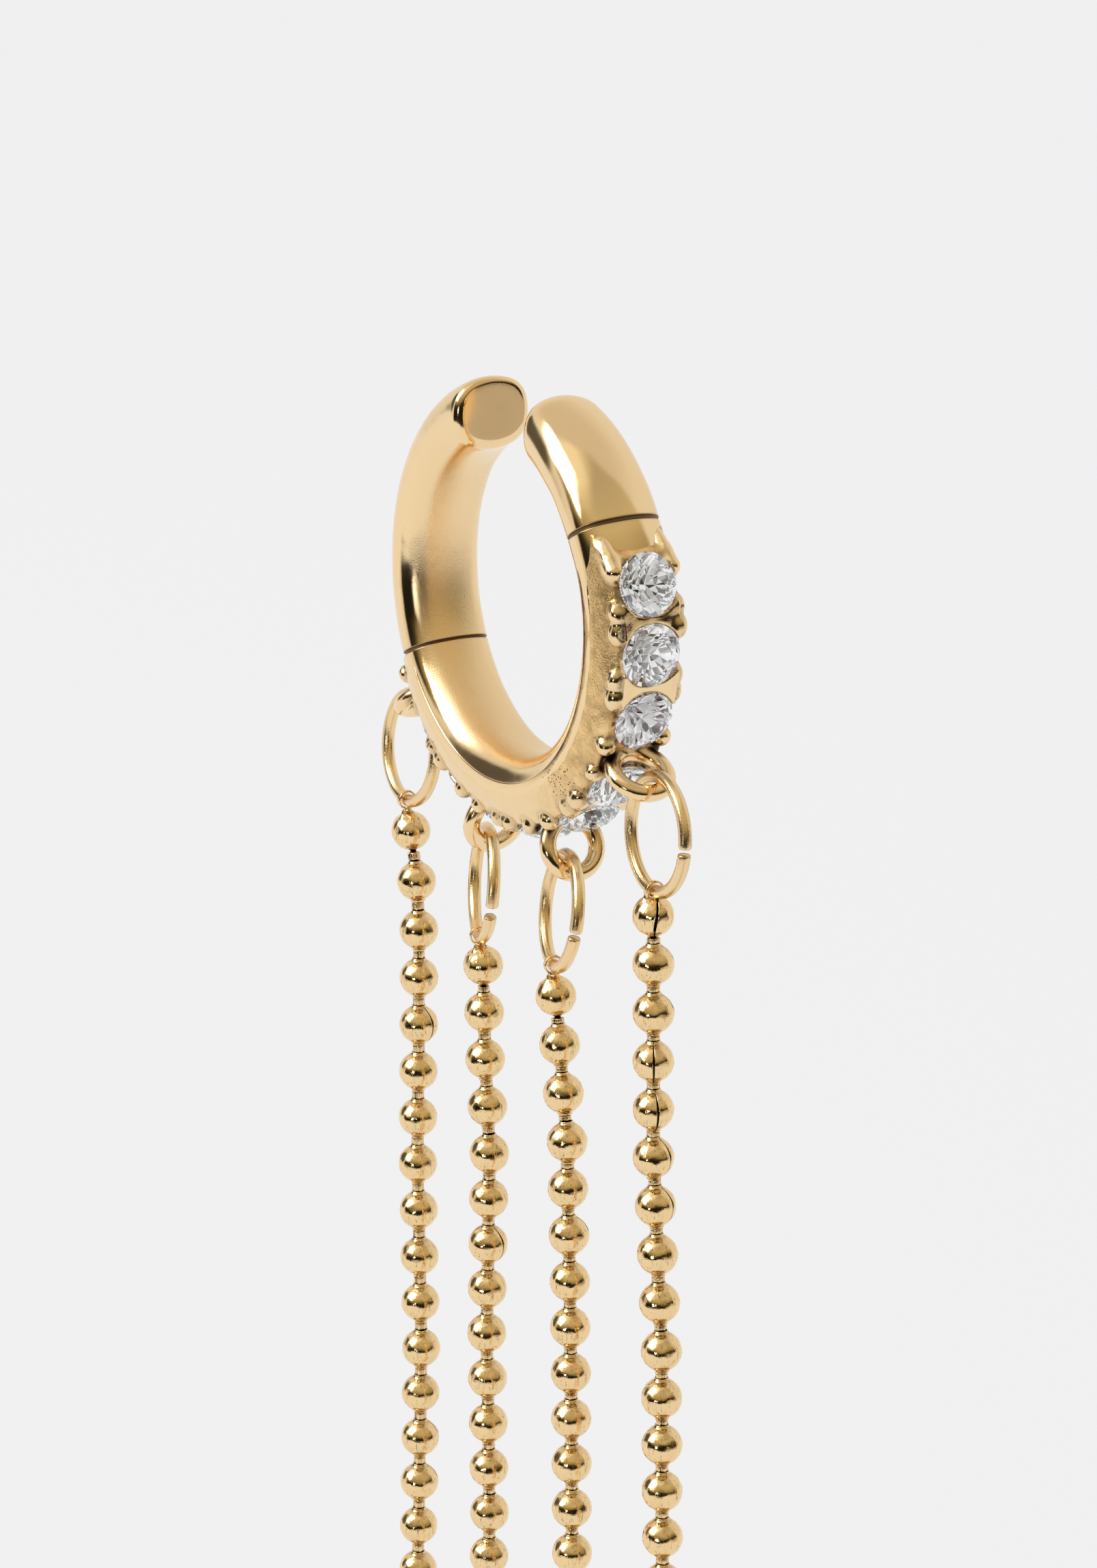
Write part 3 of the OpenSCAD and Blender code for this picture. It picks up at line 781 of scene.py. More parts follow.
def row_field(s):
    """The cast row as a distance field: its body with bars, prong beads and loops, less the stones' seats."""
    soft, prong, stone_r = s.fillet / MM, s.prong / MM, s.stone / MM / 2
    loop_radius, loop_wire = s.loop_radius / MM, s.loop_wire / MM / 2
    beads = prong_beads(prong)

    def field(p):
        r, turn = round_hoop(p)
        d = row_body(p)
        for bar in BAR_AT:
            near_only(p, d, on_hoop(bar, BAR_R), 1.6, lambda q, was: blend_in(was, bar_block(q, bar), 0.05))
        for n, bead in enumerate(beads):
            near_only(p, d, bead[0], 0.6, lambda q, was: blend_in(was, prong_bead(q, n, *bead), soft))
        for side in (-1, 1):
            a = on_hoop(63.6, PRONG_AT - 0.38, side * (PRONG_Y - 0.02))
            b = on_hoop(72.3, PRONG_AT + 0.02, side * PRONG_Y)
            near_only(p, d, (a + b) / 2, 1.2, lambda q, was: blend_in(was, end_prong(q, a, b, prong), 0.12))
        for angle, lift in zip(LOOP_ANGLE, LOOP_LIFT):
            centre, along = on_hoop(angle, LOOP_AT + lift), on_hoop(angle + 90, 1)
            near_only(p, d, centre, 1.5, lambda q, was: blend_in(
                was, torus_field(q, centre, along, loop_radius, loop_wire), 0.14))
        # the casting's lumps, on the flanks and the floor only
        lumps = 0.011 * ripple(p, 0.55, 3) + 0.004 * ripple(p, 0.2, 4)
        d = d + lumps * unpolished(turn) * np.clip((r - 5.9) / 0.3, 0, 1) * np.clip((7.1 - r) / 0.3, 0, 1)
        for angle in STONE_AT:
            near_only(p, d, on_hoop(angle, GIRDLE_R), 1.4,
                      lambda q, was: carve(was, stone_seat(q, angle, stone_r), 0.045))
        return np.maximum(d, ROW_INNER_R - r)

    return field


class CUFF_OT_row(bpy.types.Operator):
    """The cast stone row with its bars, prong beads and four loops, blended as one casting"""

    bl_idname = "cuff.row"
    bl_label = "Cast stone row"

    def execute(self, context):
        s = context.scene.ear_cuff_row
        field = row_field(s)
        cell = s.cell / MM * 1
        turns = np.radians(np.arange(ROW_FROM - 1, ROW_TO + 1, math.degrees(cell / 6.6)))
        t, r, y = np.meshgrid(turns, np.arange(5.3, 8.75, cell), np.arange(-1.42, 1.45, cell), indexing="ij")
        verts, quads = skin(np.stack([r * np.sin(t), y, r * np.cos(t)], -1), field)
        r, turn = round_hoop(verts)
        # soot and painted shade lie in the hollows, thinly round whatever stands up, and along the setting's
        # edge on the hoop
        edge = np.exp(-((r - 5.4) / 0.07) ** 2) * unpolished(turn)
        soot_and_shade = np.maximum(hollows(verts, field, 0.2), 0.75 * edge)
        soot_and_shade = np.maximum(soot_and_shade, 0.62 * hollows(verts, field, 0.5) ** 1.3)
        piece = make_piece("cast_row", verts, [quads], finish_of(cast_gold), soot_and_shade)
        # the flanks and floor stay as cast, what stands out of them is burnished
        proud = np.clip(row_body(verts) / 0.07, 0, 1)
        paint(piece, "rough_skin", (1 - proud) * unpolished(turn))
        # gas pits gather on the flanks where the casting was thickest
        paint(piece, "pits", np.exp(-((turn - 139) / 8) ** 2) * (1 - proud) * (np.abs(verts[:, 1]) > 0.95))
        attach(piece, "root")
        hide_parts("cuff")
        return {"FINISHED"}


# The stones


class StoneSettings(bpy.types.PropertyGroup):
    diameter: FloatProperty(
        name="Diameter", description="Diameter of a stone at its girdle",
        default=1.85 * MM, unit="LENGTH", precision=6)
    table: FloatProperty(
        name="Table", description="Width of the flat top as a share of the diameter",
        default=0.57, min=0.4, max=0.7)
    crown: FloatProperty(
        name="Crown angle", description="Slope of the facets above the girdle",
        default=math.radians(34), subtype="ANGLE")
    pavilion: FloatProperty(
        name="Pavilion angle", description="Slope of the facets below the girdle",
        default=math.radians(41), subtype="ANGLE")
    girdle: FloatProperty(
        name="Girdle", description="Thickness of the girdle as a share of the diameter",
        default=0.03, min=0.01, max=0.06)


def brilliant(s):
    """A round brilliant, table up, about its girdle's middle: points, faces and how many faces are above."""
    r = s.diameter / MM / 2
    half, table, star, low = s.girdle * r, s.table * r, 0.8 * r, 0.26 * r
    up, down, eighth = math.tan(s.crown), math.tan(s.pavilion), math.cos(math.radians(22.5))

    def ring(count, radius, height, first=0.0):
        a = np.radians(first + np.arange(count) * 360 / count)
        return np.stack([radius * np.cos(a), radius * np.sin(a), np.full(count, height)], 1)

    points = np.concatenate([
        ring(8, table, half + (r - table) * up), ring(8, star, half + (r - star * eighth) * up, 22.5),
        ring(32, r, half), ring(32, r, -half),
        ring(8, low, -half - (r - low * eighth) * down, 22.5), [[0, 0, -half - r * down]]])
    # where each ring of points begins: table, star, girdle's two edges, lower ring and culet
    t, st, u, d, lo, tip = 0, 8, 16, 48, 80, 88
    kites, triangles, low_triangles = [], [], []
    for k in range(8):
        triangles.append((t + k, st + k, t + (k + 1) % 8))
        kites.append((t + k, st + (k - 1) % 8, u + 4 * k, st + k))
        for j in range(4 * k, 4 * k + 4):
            triangles.append((u + j, u + (j + 1) % 32, st + k))
            low_triangles.append((d + (j + 1) % 32, d + j, lo + k))
    kites += [(d + j, d + (j + 1) % 32, u + (j + 1) % 32, u + j) for j in range(32)]
    low_kites = [(d + 4 * k, lo + (k - 1) % 8, tip, lo + k) for k in range(8)]
    faces = [np.arange(8)[None]] + [np.array(f) for f in (kites, triangles, low_triangles, low_kites)]
    return points, faces, 1 + len(kites) + len(triangles)


class CUFF_OT_stones(bpy.types.Operator):
    """The nine round brilliants, each set at its own small turn"""

    bl_idname = "cuff.stones"
    bl_label = "Stones"

    def execute(self, context):
        points, faces, above = brilliant(context.scene.ear_cuff_stones)
        for i, angle in enumerate(STONE_AT):
            rng = np.random.default_rng(60 + i)
            spin, tip = rng.uniform(0, math.pi / 4), rng.uniform(-0.02, 0.02, 2)
            turn = Matrix.Rotation(tip[0], 3, "X") @ Matrix.Rotation(tip[1], 3, "Y")
            local = points @ np.array(turn @ Matrix.Rotation(spin, 3, "Z")).T
            set_in_row = np.array([on_hoop(angle + 90, 1), (0, 1, 0), on_hoop(angle, 1)])
            piece = make_piece(f"cut_stone_{i + 1}", on_hoop(angle, GIRDLE_R) + local @ set_in_row, faces,
                               finish_of(zirconia_with_painted_glints), smooth=False)
            count = len(piece.data.polygons)
            # each facet under the girdle gets a random number that picks its painted glint and glow
            paint(piece, "cut", np.where(np.arange(count) < above, 0, rng.uniform(0.05, 1, count)), "FACE")
            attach(piece, "root")
            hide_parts(f"stone_{i + 1}")
        return {"FINISHED"}


# The jump rings


class RingSettings(bpy.types.PropertyGroup):
    radius: FloatProperty(
        name="Radius", description="Radius of a jump ring at the middle of its wire",
        default=1.65 * MM, unit="LENGTH", precision=6)
    wire: FloatProperty(
        name="Wire", description="Thickness of a jump ring's wire",
        default=0.38 * MM, unit="LENGTH", precision=6)
    hang_gap: FloatProperty(
        name="Hang gap", description="Gap between a jump ring and its loop",
        default=0.03 * MM, unit="LENGTH", precision=6)
    gold: FloatVectorProperty(
        name="Gold", description="Colour of the drawn wire",
        default=linear("#F6D7A4"), size=4, min=0, max=1, subtype="COLOR")


def ring_frame(i, s):
    """A jump ring's centre, its sideways and upward directions and its axis."""
    j, radius, wire, gap = JUMP[i], s.radius / MM, s.wire / MM, s.hang_gap / MM
    yaw, lean, turn = (math.radians(j[key]) for key in ("yaw", "lean", "hook_turn"))
    side = np.array([math.cos(yaw), math.sin(yaw), 0])
    up = np.array([math.sin(yaw) * math.sin(lean), -math.cos(yaw) * math.sin(lean), math.cos(lean)])
    room = LOOP_RADIUS - LOOP_WIRE / 2 - wire / 2 - gap
    hook_r = LOOP_AT + LOOP_LIFT[i] + math.sqrt(room ** 2 - j["hook_y"] ** 2) - j["slack"]
    hook = on_hoop(LOOP_ANGLE[i], hook_r, j["hook_y"])
    return hook - radius * (math.cos(turn) * side + math.sin(turn) * up), side, up, np.cross(side, up)


class CUFF_OT_jump_rings(bpy.types.Operator):
    """The four jump rings: drawn wire with its die lines, open at the sheared ends"""

    bl_idname = "cuff.jump_rings"
    bl_label = "Jump rings"

    def execute(self, context):
        s = context.scene.ear_cuff_rings
        radius, wire = s.radius / MM, s.wire / MM / 2
        around = 52
        beta = np.linspace(0, 2 * math.pi, around, endpoint=False)
        # the steps lie close together at both ends, where the shears broke the wire's edge
        k = np.linspace(0.012, 0.988, 140)
        k = np.concatenate([[0, 0.001, 0.003, 0.006], k, [0.994, 0.997, 0.999, 1]])
        for i, j in enumerate(JUMP):
            rng = np.random.default_rng(20 + i)
            centre, side, up, axis = ring_frame(i, s)
            half_gap = j["gap"] / radius / 2
            turns = math.radians(j["gap_turn"]) + half_gap + k * (2 * math.pi - 2 * half_gap)
            die_lines = sum(rng.uniform(0.0012, 0.0035) * np.cos(n * beta + rng.uniform(0, 6.28))
                            for n in (2, 5, 9, 14, 21, 29))
            scores = rng.uniform(0, 2 * math.pi, 5)
            score = sum(np.exp(-((np.angle(np.exp(1j * (beta - c)))) / 0.06) ** 2) for c in scores)
            rows, soot_and_shade = [], []
            for share, a in zip(k, turns):
                end = min(share, 1 - share)
                trim = wire - (0.022 * (1 - end / 0.006) ** 2 if end < 0.006 else 0)
                fade = 0.55 + 0.45 * math.sin(3 * a + i)
                w = trim + die_lines - 0.01 * score * fade
                spoke = math.cos(a) * side + math.sin(a) * up
                ring = centre + (radius + w * np.cos(beta))[:, None] * spoke
                rows.append(ring + (w * np.sin(beta))[:, None] * axis)
                # the scratches and the sheared ends are painted darker
                soot_and_shade.append(0.55 * score * fade + (0.25 if end < 0.002 else 0))
            faces = [tube_faces(len(rows), around), cap_faces(len(rows), around)]
            verts = np.concatenate(rows + [[rows[0].mean(0), rows[-1].mean(0)]])
            piece = make_piece(f"jump_ring_wire_{i + 1}", verts, faces, finish_of(drawn_gold),
                               np.clip(np.concatenate(soot_and_shade + [[0.2, 0.2]]), 0, 1))
            face_outwards(piece)
            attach(piece, "root")
            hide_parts(f"jump_ring_{i + 1}")
        return {"FINISHED"}


# The chains


class ChainSettings(bpy.types.PropertyGroup):
    bead: FloatProperty(
        name="Bead", description="Diameter of a chain bead",
        default=1.2 * MM, unit="LENGTH", precision=6)
    bead_wall: FloatProperty(
        name="Bead wall", description="Wall of a hollow bead",
        default=0.15 * MM, unit="LENGTH", precision=6)
    hole: FloatProperty(
        name="Hole", description="Diameter of the holes in a bead",
        default=0.35 * MM, unit="LENGTH", precision=6)
    pin: FloatProperty(
        name="Pin", description="Diameter of a pin between two beads",
        default=0.2 * MM, unit="LENGTH", precision=6)
    pin_head: FloatProperty(
        name="Pin head", description="Diameter of a pin's heads",
        default=0.38 * MM, unit="LENGTH", precision=6)
    eye_wire: FloatProperty(
        name="Eye wire", description="Thickness of the eye that holds a chain",
        default=0.14 * MM, unit="LENGTH", precision=6)
    gold: FloatVectorProperty(
        name="Gold", description="Colour of the rolled sheet",
        default=linear("#F8D8A2"), size=4, min=0, max=1, subtype="COLOR")


def bead_centres(i, rings):
    """The lowest point of a jump ring's wire circle, and the middles of the beads that hang from it."""
    centre, _, up, _ = ring_frame(i, rings)
    low = centre - rings.radius / MM * up
    c = CHAIN[i]
    k = np.arange(c["count"])
    sway = np.interp(k, *zip(*c["sway"]))
    return low, low + np.stack([sway, 0 * k, -c["drop"] - k * c["pitch"]], 1)


def link_leans(centres):
    """How far each link between two beads leans sideways."""
    step = np.diff(centres, axis=0)
    return np.arctan2(-step[:, 0], -step[:, 2])


def bead_profile(s, closed):
    """Half section of a hollow bead, round its outside and back through its cavity: radius, height, soot and
    painted shade.
    """
    r, hole = s.bead / MM / 2, s.hole / MM / 2
    inner = r - s.bead_wall / MM
    # the sheet is drawn in to a short flared neck at each hole
    # the third number is painted shade, deepest down in the hole
    neck = [(0.315, 0.513, 0.05), (0.285, 0.532, 0.15), (0.255, 0.552, 0.25), (0.232, 0.577, 0.2),
            (0.217, 0.605, 0.1), (0.21, 0.626, 0.0), (0.203, 0.636, 0.0), (0.186, 0.636, 0.3),
            (hole - 0.005, 0.624, 0.9), (hole - 0.02, 0.6, 1.0)]
    foot = math.asin((neck[0][0] + 0.03) / r)
    ends = math.asin((hole - 0.02) / inner)
    pole = 0.0015
    if closed:
        outside, cavity = np.linspace(math.pi, foot, 28), np.linspace(ends, math.pi, 6)[:-1]
        rows = []
    else:
        outside, cavity = np.linspace(math.pi - foot, foot, 24), np.linspace(ends, math.pi - ends, 6)
        rows = [(radius, -height, dirt_and_shade) for radius, height, dirt_and_shade in reversed(neck)]
    rows += [(max(r * math.sin(a), pole), r * math.cos(a), 0.0) for a in outside]
    rows += neck
    # the cavity inside is painted fully dark, as shade
    rows += [(inner * math.sin(a), inner * math.cos(a), 1.0) for a in cavity]
    if closed:
        rows.append((pole, -inner, 1.0))
    return np.array(rows)


def bead_mesh(s, seed, closed=False):
    """One bead with its seam, and the creases and dents of its forming. Its seam faces -Y."""
    rng = np.random.default_rng(seed)
    rows = bead_profile(s, closed)
    seam, rest = np.radians([0, 1.6, 2.7, 3.5, 5]), math.radians(10)
    turns = np.sort(np.concatenate([seam, -seam[1:], np.linspace(rest, 2 * math.pi - rest, 50)]))
    around = len(turns)
    off = np.angle(np.exp(1j * turns))
    slit = np.clip(1 - np.abs(off) / math.radians(3.4), 0, 1) ** 0.6
    creases = np.zeros(around)
    for _ in range(12):
        at, width, height = rng.uniform(0.3, 6.0), rng.uniform(0.04, 0.1), rng.uniform(0.3, 1)
        creases += height * np.exp(-(np.angle(np.exp(1j * (turns - at))) / width) ** 2)
    verts, soot_and_shade = [], []
    for radius, height, dirt_and_shade in rows:
        outer = math.hypot(radius, height) > 0.57
        up = min(abs(height) / 0.6, 1)
        cut = np.zeros(around)
        if outer and radius > 0.01:
            cut = 0.1 * slit * math.sqrt(max(0.02, 1 - (height / 0.62) ** 2)) + 0.009 * creases * (0.3 + up)
        reach = radius - cut * (radius / 0.6 if radius < 0.3 else 1)
        row = np.stack([reach * np.sin(turns), -reach * np.cos(turns), np.full(around, height)], 1)
        if outer and radius > 0.01:
            dents = 0.011 * ripple(row, 0.34, seed) + 0.008 * ripple(row * [1, 1, 0.5], 0.17, seed + 1)
            row[:, :2] *= 1 + dents[:, None] / 0.6 * 0.55
        verts.append(row)
        # painted shade down the seam's slit and in the creases, on top of the profile's
        soot_and_shade.append(np.clip(dirt_and_shade + (slit > 0.2) * (0.95 if outer else 0) + 0.25 * creases * up * outer, 0, 1))
    faces = [tube_faces(len(rows), around, closed=not closed)]
    if closed:
        verts.append([[0, 0, rows[0][1]], [0, 0, rows[-1][1]]])
        soot_and_shade.append([0, 1])
        faces.append(cap_faces(len(rows), around))
    return np.concatenate(verts), faces, np.concatenate(soot_and_shade)


def pin_mesh(s, pitch):
    """A pin with a round head at both ends and the sleeve that shows between two beads."""
    half, around = (pitch - 0.54) / 2, 32
    shaft, head = s.pin / MM / 2, s.pin_head / MM / 2
    tall = pitch / 2 - 0.648
    rows = [(head * math.sin(a), half + head * math.cos(a), 0.3)
            for a in np.linspace(0.05, math.pi - math.asin(shaft / head), 5)]
    rows += [(shaft, tall, 0.9), (0.166, tall - 0.001, 0.5), (0.178, tall - 0.012, 0.1),
             (0.181, tall * 0.4, 0.0)]
    rows += [(radius, -height, dirt_and_shade) for radius, height, dirt_and_shade in reversed(rows)]
    turns = np.linspace(0, 2 * math.pi, around, endpoint=False)
    # the sleeve is a scrap of fluted tube with an open seam
    flutes = sum(0.007 * np.cos(k * turns + 2 * k) for k in (4, 7, 11))
    flutes = flutes - 0.03 * (np.abs(np.arange(around) - 9) < 1)
    verts, soot_and_shade = [], []
    for radius, height, dirt_and_shade in rows:
        reach = radius + (flutes if radius > 0.16 and abs(height) < tall else 0)
        verts.append(np.stack([reach * np.sin(turns), -reach * np.cos(turns), np.full(around, height)], 1))
        # painted shade where the pin goes into the beads, in the sleeve's flutes and down its open seam
        soot_and_shade.append(np.clip(dirt_and_shade - flutes * 45 * (radius > 0.16), 0, 1))
    verts = np.concatenate(verts + [[[0, 0, half + head], [0, 0, -half - head]]])
    faces = [tube_faces(len(rows), around), cap_faces(len(rows), around)]
    return verts, faces, np.concatenate(soot_and_shade + [[0.3, 0.3]])


def string_tree():
    """Sets a piece on every point of a chain, turned as the point says."""
    tree = bpy.data.node_groups.new("chain_string", "GeometryNodeTree")
    sockets = tree.interface
    sockets.new_socket(name="Points", in_out="INPUT", socket_type="NodeSocketGeometry")
    sockets.new_socket(name="Link", in_out="INPUT", socket_type="NodeSocketObject")
    size = sockets.new_socket(name="Size", in_out="INPUT", socket_type="NodeSocketFloat")
    size.default_value = 1.0
    sockets.new_socket(name="Finish", in_out="INPUT", socket_type="NodeSocketMaterial")
    sockets.new_socket(name="Chain", in_out="OUTPUT", socket_type="NodeSocketGeometry")
    given = add(tree, "NodeGroupInput").outputs
    link = add(tree, "GeometryNodeObjectInfo", {"Object": given["Link"]}, transform_space="ORIGINAL")
    facing = add(tree, "GeometryNodeInputNamedAttribute", {"Name": "facing"}, data_type="FLOAT_VECTOR")
    strung = add(tree, "GeometryNodeInstanceOnPoints", {
        "Points": given["Points"], "Instance": link.outputs["Geometry"],
        "Rotation": facing.outputs["Attribute"], "Scale": given["Size"]})
    real = add(tree, "GeometryNodeRealizeInstances", {"Geometry": strung.outputs["Instances"]})
    dressed = add(tree, "GeometryNodeSetMaterial", {"Geometry": real.outputs[0], "Material": given["Finish"]})
    add(tree, "NodeGroupOutput", {"Chain": dressed.outputs[0]})
    return tree


def string_on(name, tree, link, places, facings, material):
    """Strings a link piece on its places and returns the plain mesh."""
    mesh = bpy.data.meshes.new(name + "_points")
    mesh.from_pydata([Vector(p) * MM for p in places], [], [])
    facing = mesh.attributes.new("facing", "FLOAT_VECTOR", "POINT")
    facing.data.foreach_set("vector", np.array(facings, np.float32).ravel())
    points = bpy.data.objects.new(name + "_points", mesh)
    bpy.context.collection.objects.link(points)
    string = points.modifiers.new("string", "NODES")
    string.node_group = tree
    given = {"Link": link, "Size": 1.0, "Finish": material}
    for socket in tree.interface.items_tree:
        if socket.in_out == "INPUT" and socket.name in given:
            string[socket.identifier] = given[socket.name]
    bpy.context.view_layer.update()
    graph = bpy.context.evaluated_depsgraph_get()
    strung = bpy.data.meshes.new_from_object(
        points.evaluated_get(graph), preserve_all_data_layers=True, depsgraph=graph)
    strung.name = name
    points.modifiers.remove(string)
    bpy.data.objects.remove(points)
    piece = bpy.data.objects.new(name, strung)
    bpy.context.collection.objects.link(piece)
    strung.materials.clear()
    strung.materials.append(material)
    strung.polygons.foreach_set("use_smooth", np.full(len(strung.polygons), True))
    return piece


def facing_of(spin, lean):
    """The turn of a link that is spun about the chain and then leans with it."""
    return (Matrix.Rotation(lean, 3, "Y") @ Matrix.Rotation(spin, 3, "Z")).to_euler("XYZ")[:]


def first_bead_field(i, s, rings, low, centre, lean):
    """The bead that closes round its jump ring: a sphere drawn up into an eye about the wire."""
    ring_centre, side, _, axis = ring_frame(i, rings)
    clear = rings.wire / MM / 2 + rings.hang_gap / MM
    eye_r = clear + 0.012 + s.eye_wire / MM / 4
    toward = (centre - low) / np.linalg.norm(centre - low)
    down = np.array([-math.sin(lean), 0, -math.cos(lean)])
    lip, lip_tip = centre + np.array([0, -0.22, 0.3]), centre + np.array([0, -0.27, 0.69])

    def field(p):
        d = ball_field(p, centre, s.bead / MM / 2)
        d = blend_in(d, peg_field(p, low + toward * eye_r, centre, 0.1), 0.12)
        # the sheet's lip is drawn up to a point on one side, and its thin strap goes on round the wire
        taper = 0.165 * share_along(p, lip, lip_tip) ** 0.8
        d = blend_in(d, peg_field(p, lip, lip_tip, 0) - 0.2 + taper, 0.08)
        v = p - low
        flat = np.abs(v @ side)
        ring = np.abs(np.sqrt(np.maximum((v * v).sum(-1) - flat ** 2, 0)) - eye_r)
        d = blend_in(d, np.hypot(np.maximum(ring - 0.008, 0), np.maximum(flat - 0.06, 0)) - 0.022, 0.05)
        d = carve(d, torus_field(p, ring_centre, axis, rings.radius / MM, clear), 0.02)
        d = carve(d, ball_field(p, centre - np.array([0, 0, 0.05]), 0.4), 0.01)
        # the sheet's seam runs down the bead, and shows in front on the nearest chain only
        v = p - centre
        depth = np.linalg.norm(v, axis=-1)
        across, half = ((0.509, 0.861, 0), v[:, 1]) if i == 3 else ((0.2, 0.98, 0), v[:, 0])
        facing = v @ np.array(across) - 0.07 - 0.04 * np.sin(4 * v[:, 2])
        slit = np.abs(facing) - 0.036 * np.sqrt(np.clip(1 - (v[:, 2] / 0.62) ** 2, 0.02, 1))
        d = carve(d, np.maximum(np.maximum(slit, half), 0.46 - depth), 0.01)
        dents = 0.011 * ripple(v, 0.34, 30 + i) + 0.007 * ripple(v * [1, 1, 0.4], 0.16, 31 + i)
        d = d + dents * 0.5 * (depth < 0.66)
        # the hole for the first pin
        return carve(d, peg_field(p, centre + 0.3 * down, centre + 1.0 * down, s.hole / MM / 2 - 0.02), 0.02)

    return field


def link_piece(name, mesh, finish):
    """A bead or a pin from its points, faces, and soot and painted shade, right side out."""
    verts, faces, soot_and_shade = mesh
    piece = make_piece(name, verts, faces, finish, soot_and_shade)
    face_outwards(piece)
    return piece


class CUFF_OT_chains(bpy.types.Operator):
    """The four ball chains: hollow beads with their seams and lips, strung on headed pins"""

    bl_idname = "cuff.chains"
    bl_label = "Ball chains"

    def execute(self, context):
        s, rings = context.scene.ear_cuff_chains, context.scene.ear_cuff_rings
        gold, wire = finish_of(rolled_gold), finish_of(drawn_gold)
        tree = string_tree()
        beads = [link_piece(f"bead_pattern_{n + 1}", bead_mesh(s, 5 + n), gold) for n in range(3)]
        end_bead = link_piece("end_bead_pattern", bead_mesh(s, 9, closed=True), gold)
        for i, chain in enumerate(CHAIN):
            rng = np.random.default_rng(40 + i)
            low, centres = bead_centres(i, rings)
            leans = link_leans(centres)
            bead_lean = np.concatenate([[leans[0]], (leans[:-1] + leans[1:]) / 2, [leans[-1]]])
            spins = rng.uniform(2.4, 5.6, len(centres))
            spins[3:7] = SEAM_TURN[i]
            facings = [facing_of(a, b) for a, b in zip(spins, bead_lean)]
            # the three bead patterns take turns, from the second bead to the last but one
            dressed = [string_on(f"chain_{i + 1}_strung_beads_{n + 1}", tree, beads[n],
                                 centres[1 + n:-1:3], facings[1 + n:-1:3], gold) for n in range(3)]
            dressed.append(string_on(f"chain_{i + 1}_end_bead", tree, end_bead,
                                     centres[-1:], facings[-1:], gold))
            pin = link_piece("pin_pattern", pin_mesh(s, chain["pitch"]), wire)
            pins = string_on(f"chain_{i + 1}_strung_pins", tree, pin, (centres[:-1] + centres[1:]) / 2,
                             [facing_of(a, b) for a, b in zip(spins, leans)], wire)
            bpy.data.objects.remove(pin)
            field = first_bead_field(i, s, rings, low, centres[0], leans[0])
            corners_at = np.minimum(low, centres[0]) - 0.72, np.maximum(low, centres[0]) + 0.72
            verts, quads = skin(box_grid(*corners_at, 0.028), field)
            # painted shade in the bead's crevices and seam, and all through its hollow inside
            inner = np.linalg.norm(verts - centres[0], axis=1) < 0.5
            soot_and_shade = np.clip(hollows(verts, field, 0.05) ** 1.3 + inner, 0, 1)
            dressed.append(link_piece(f"chain_{i + 1}_first_bead", (verts, [quads], soot_and_shade), gold))
            for piece in dressed:
                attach(piece, "root")
                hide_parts(f"chain_{i + 1}_beads")
            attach(pins, "root")
            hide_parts(f"chain_{i + 1}_pins")
        for pattern in beads + [end_bead]:
            bpy.data.objects.remove(pattern)
        return {"FINISHED"}


# The studio


LAMP_DISTANCE = 0.5
LAMPS_AIM = (0, 0, -8 * MM)
# Each lamp: its direction in the camera's own right, up and back axes, its size, its power and its colour.
# The key's power is a setting.
LAMPS = {
    "key_softbox": ((-0.76, 0.56, 0.33), (0.3, 0.34), None, "#FFFFFF"),
    "low_lamp": ((-0.51, -0.21, 0.82), (0.06, 0.05), 0.12, "#FFFFFF"),
    "right_reflector": ((0.82, -0.42, 0.4), (0.5, 0.24), 0.2, "#FFF4E6"),
}


class StudioSettings(bpy.types.PropertyGroup):
    azimuth: FloatProperty(
        name="Azimuth", description="Camera's turn about the vertical",
        default=math.radians(59.4), subtype="ANGLE")
    elevation: FloatProperty(
        name="Elevation", description="Camera's height over the level",
        default=math.radians(15.6), subtype="ANGLE")
    distance: FloatProperty(
        name="Distance", description="Camera's distance from the cuff",
        default=150 * MM, unit="LENGTH")
    key: FloatProperty(
        name="Key", description="Power of the key softbox",
        default=1.3, unit="POWER")
    backdrop: FloatVectorProperty(
        name="Backdrop", description="Colour of the paper that the camera sees all round",
        default=linear("#F0F0F0"), size=4, min=0, max=1, subtype="COLOR")


def camera_axes(s):
    """The camera's right, up and back directions."""
    a, e = s.azimuth, s.elevation
    back = np.array([math.sin(a) * math.cos(e), -math.cos(a) * math.cos(e), math.sin(e)])
    right = np.array([math.cos(a), math.sin(a), 0])
    return right, np.cross(back, right), back


def toward(way, axes):
    """A direction given in the camera's own right, up and back axes."""
    return sum(w * a for w, a in zip(way, axes))


def softbox(name, way, size, power, colour):
    """A soft rectangular lamp on that side of the cuff, turned to face it."""
    light = bpy.data.lights.new(name, "AREA")
    light.shape = "RECTANGLE"
    light.size, light.size_y = size
    light.energy = power
    light.color = linear(colour)[:3]
    lamp = bpy.data.objects.new(name, light)
    direction = Vector(way).normalized()
    lamp.location = Vector(LAMPS_AIM) + direction * LAMP_DISTANCE
    lamp.rotation_euler = direction.to_track_quat("Z", "Y").to_euler()
    bpy.context.collection.objects.link(lamp)


def photo_camera(s, axes):
    """The camera, on a long lens and aimed just below the hoop."""
    camera = bpy.data.cameras.new("photo_camera")
    camera.lens, camera.sensor_width = 117.6, 36.0
    camera.clip_start, camera.clip_end = 5 * MM, 20
    stand = bpy.data.objects.new("photo_camera", camera)
    aim = np.array([1.157, 0, -5.468]) * MM
    stand.matrix_world = Matrix.Translation(aim + s.distance * axes[2]) @ Matrix(axes).transposed().to_4x4()
    bpy.context.collection.objects.link(stand)
    return stand


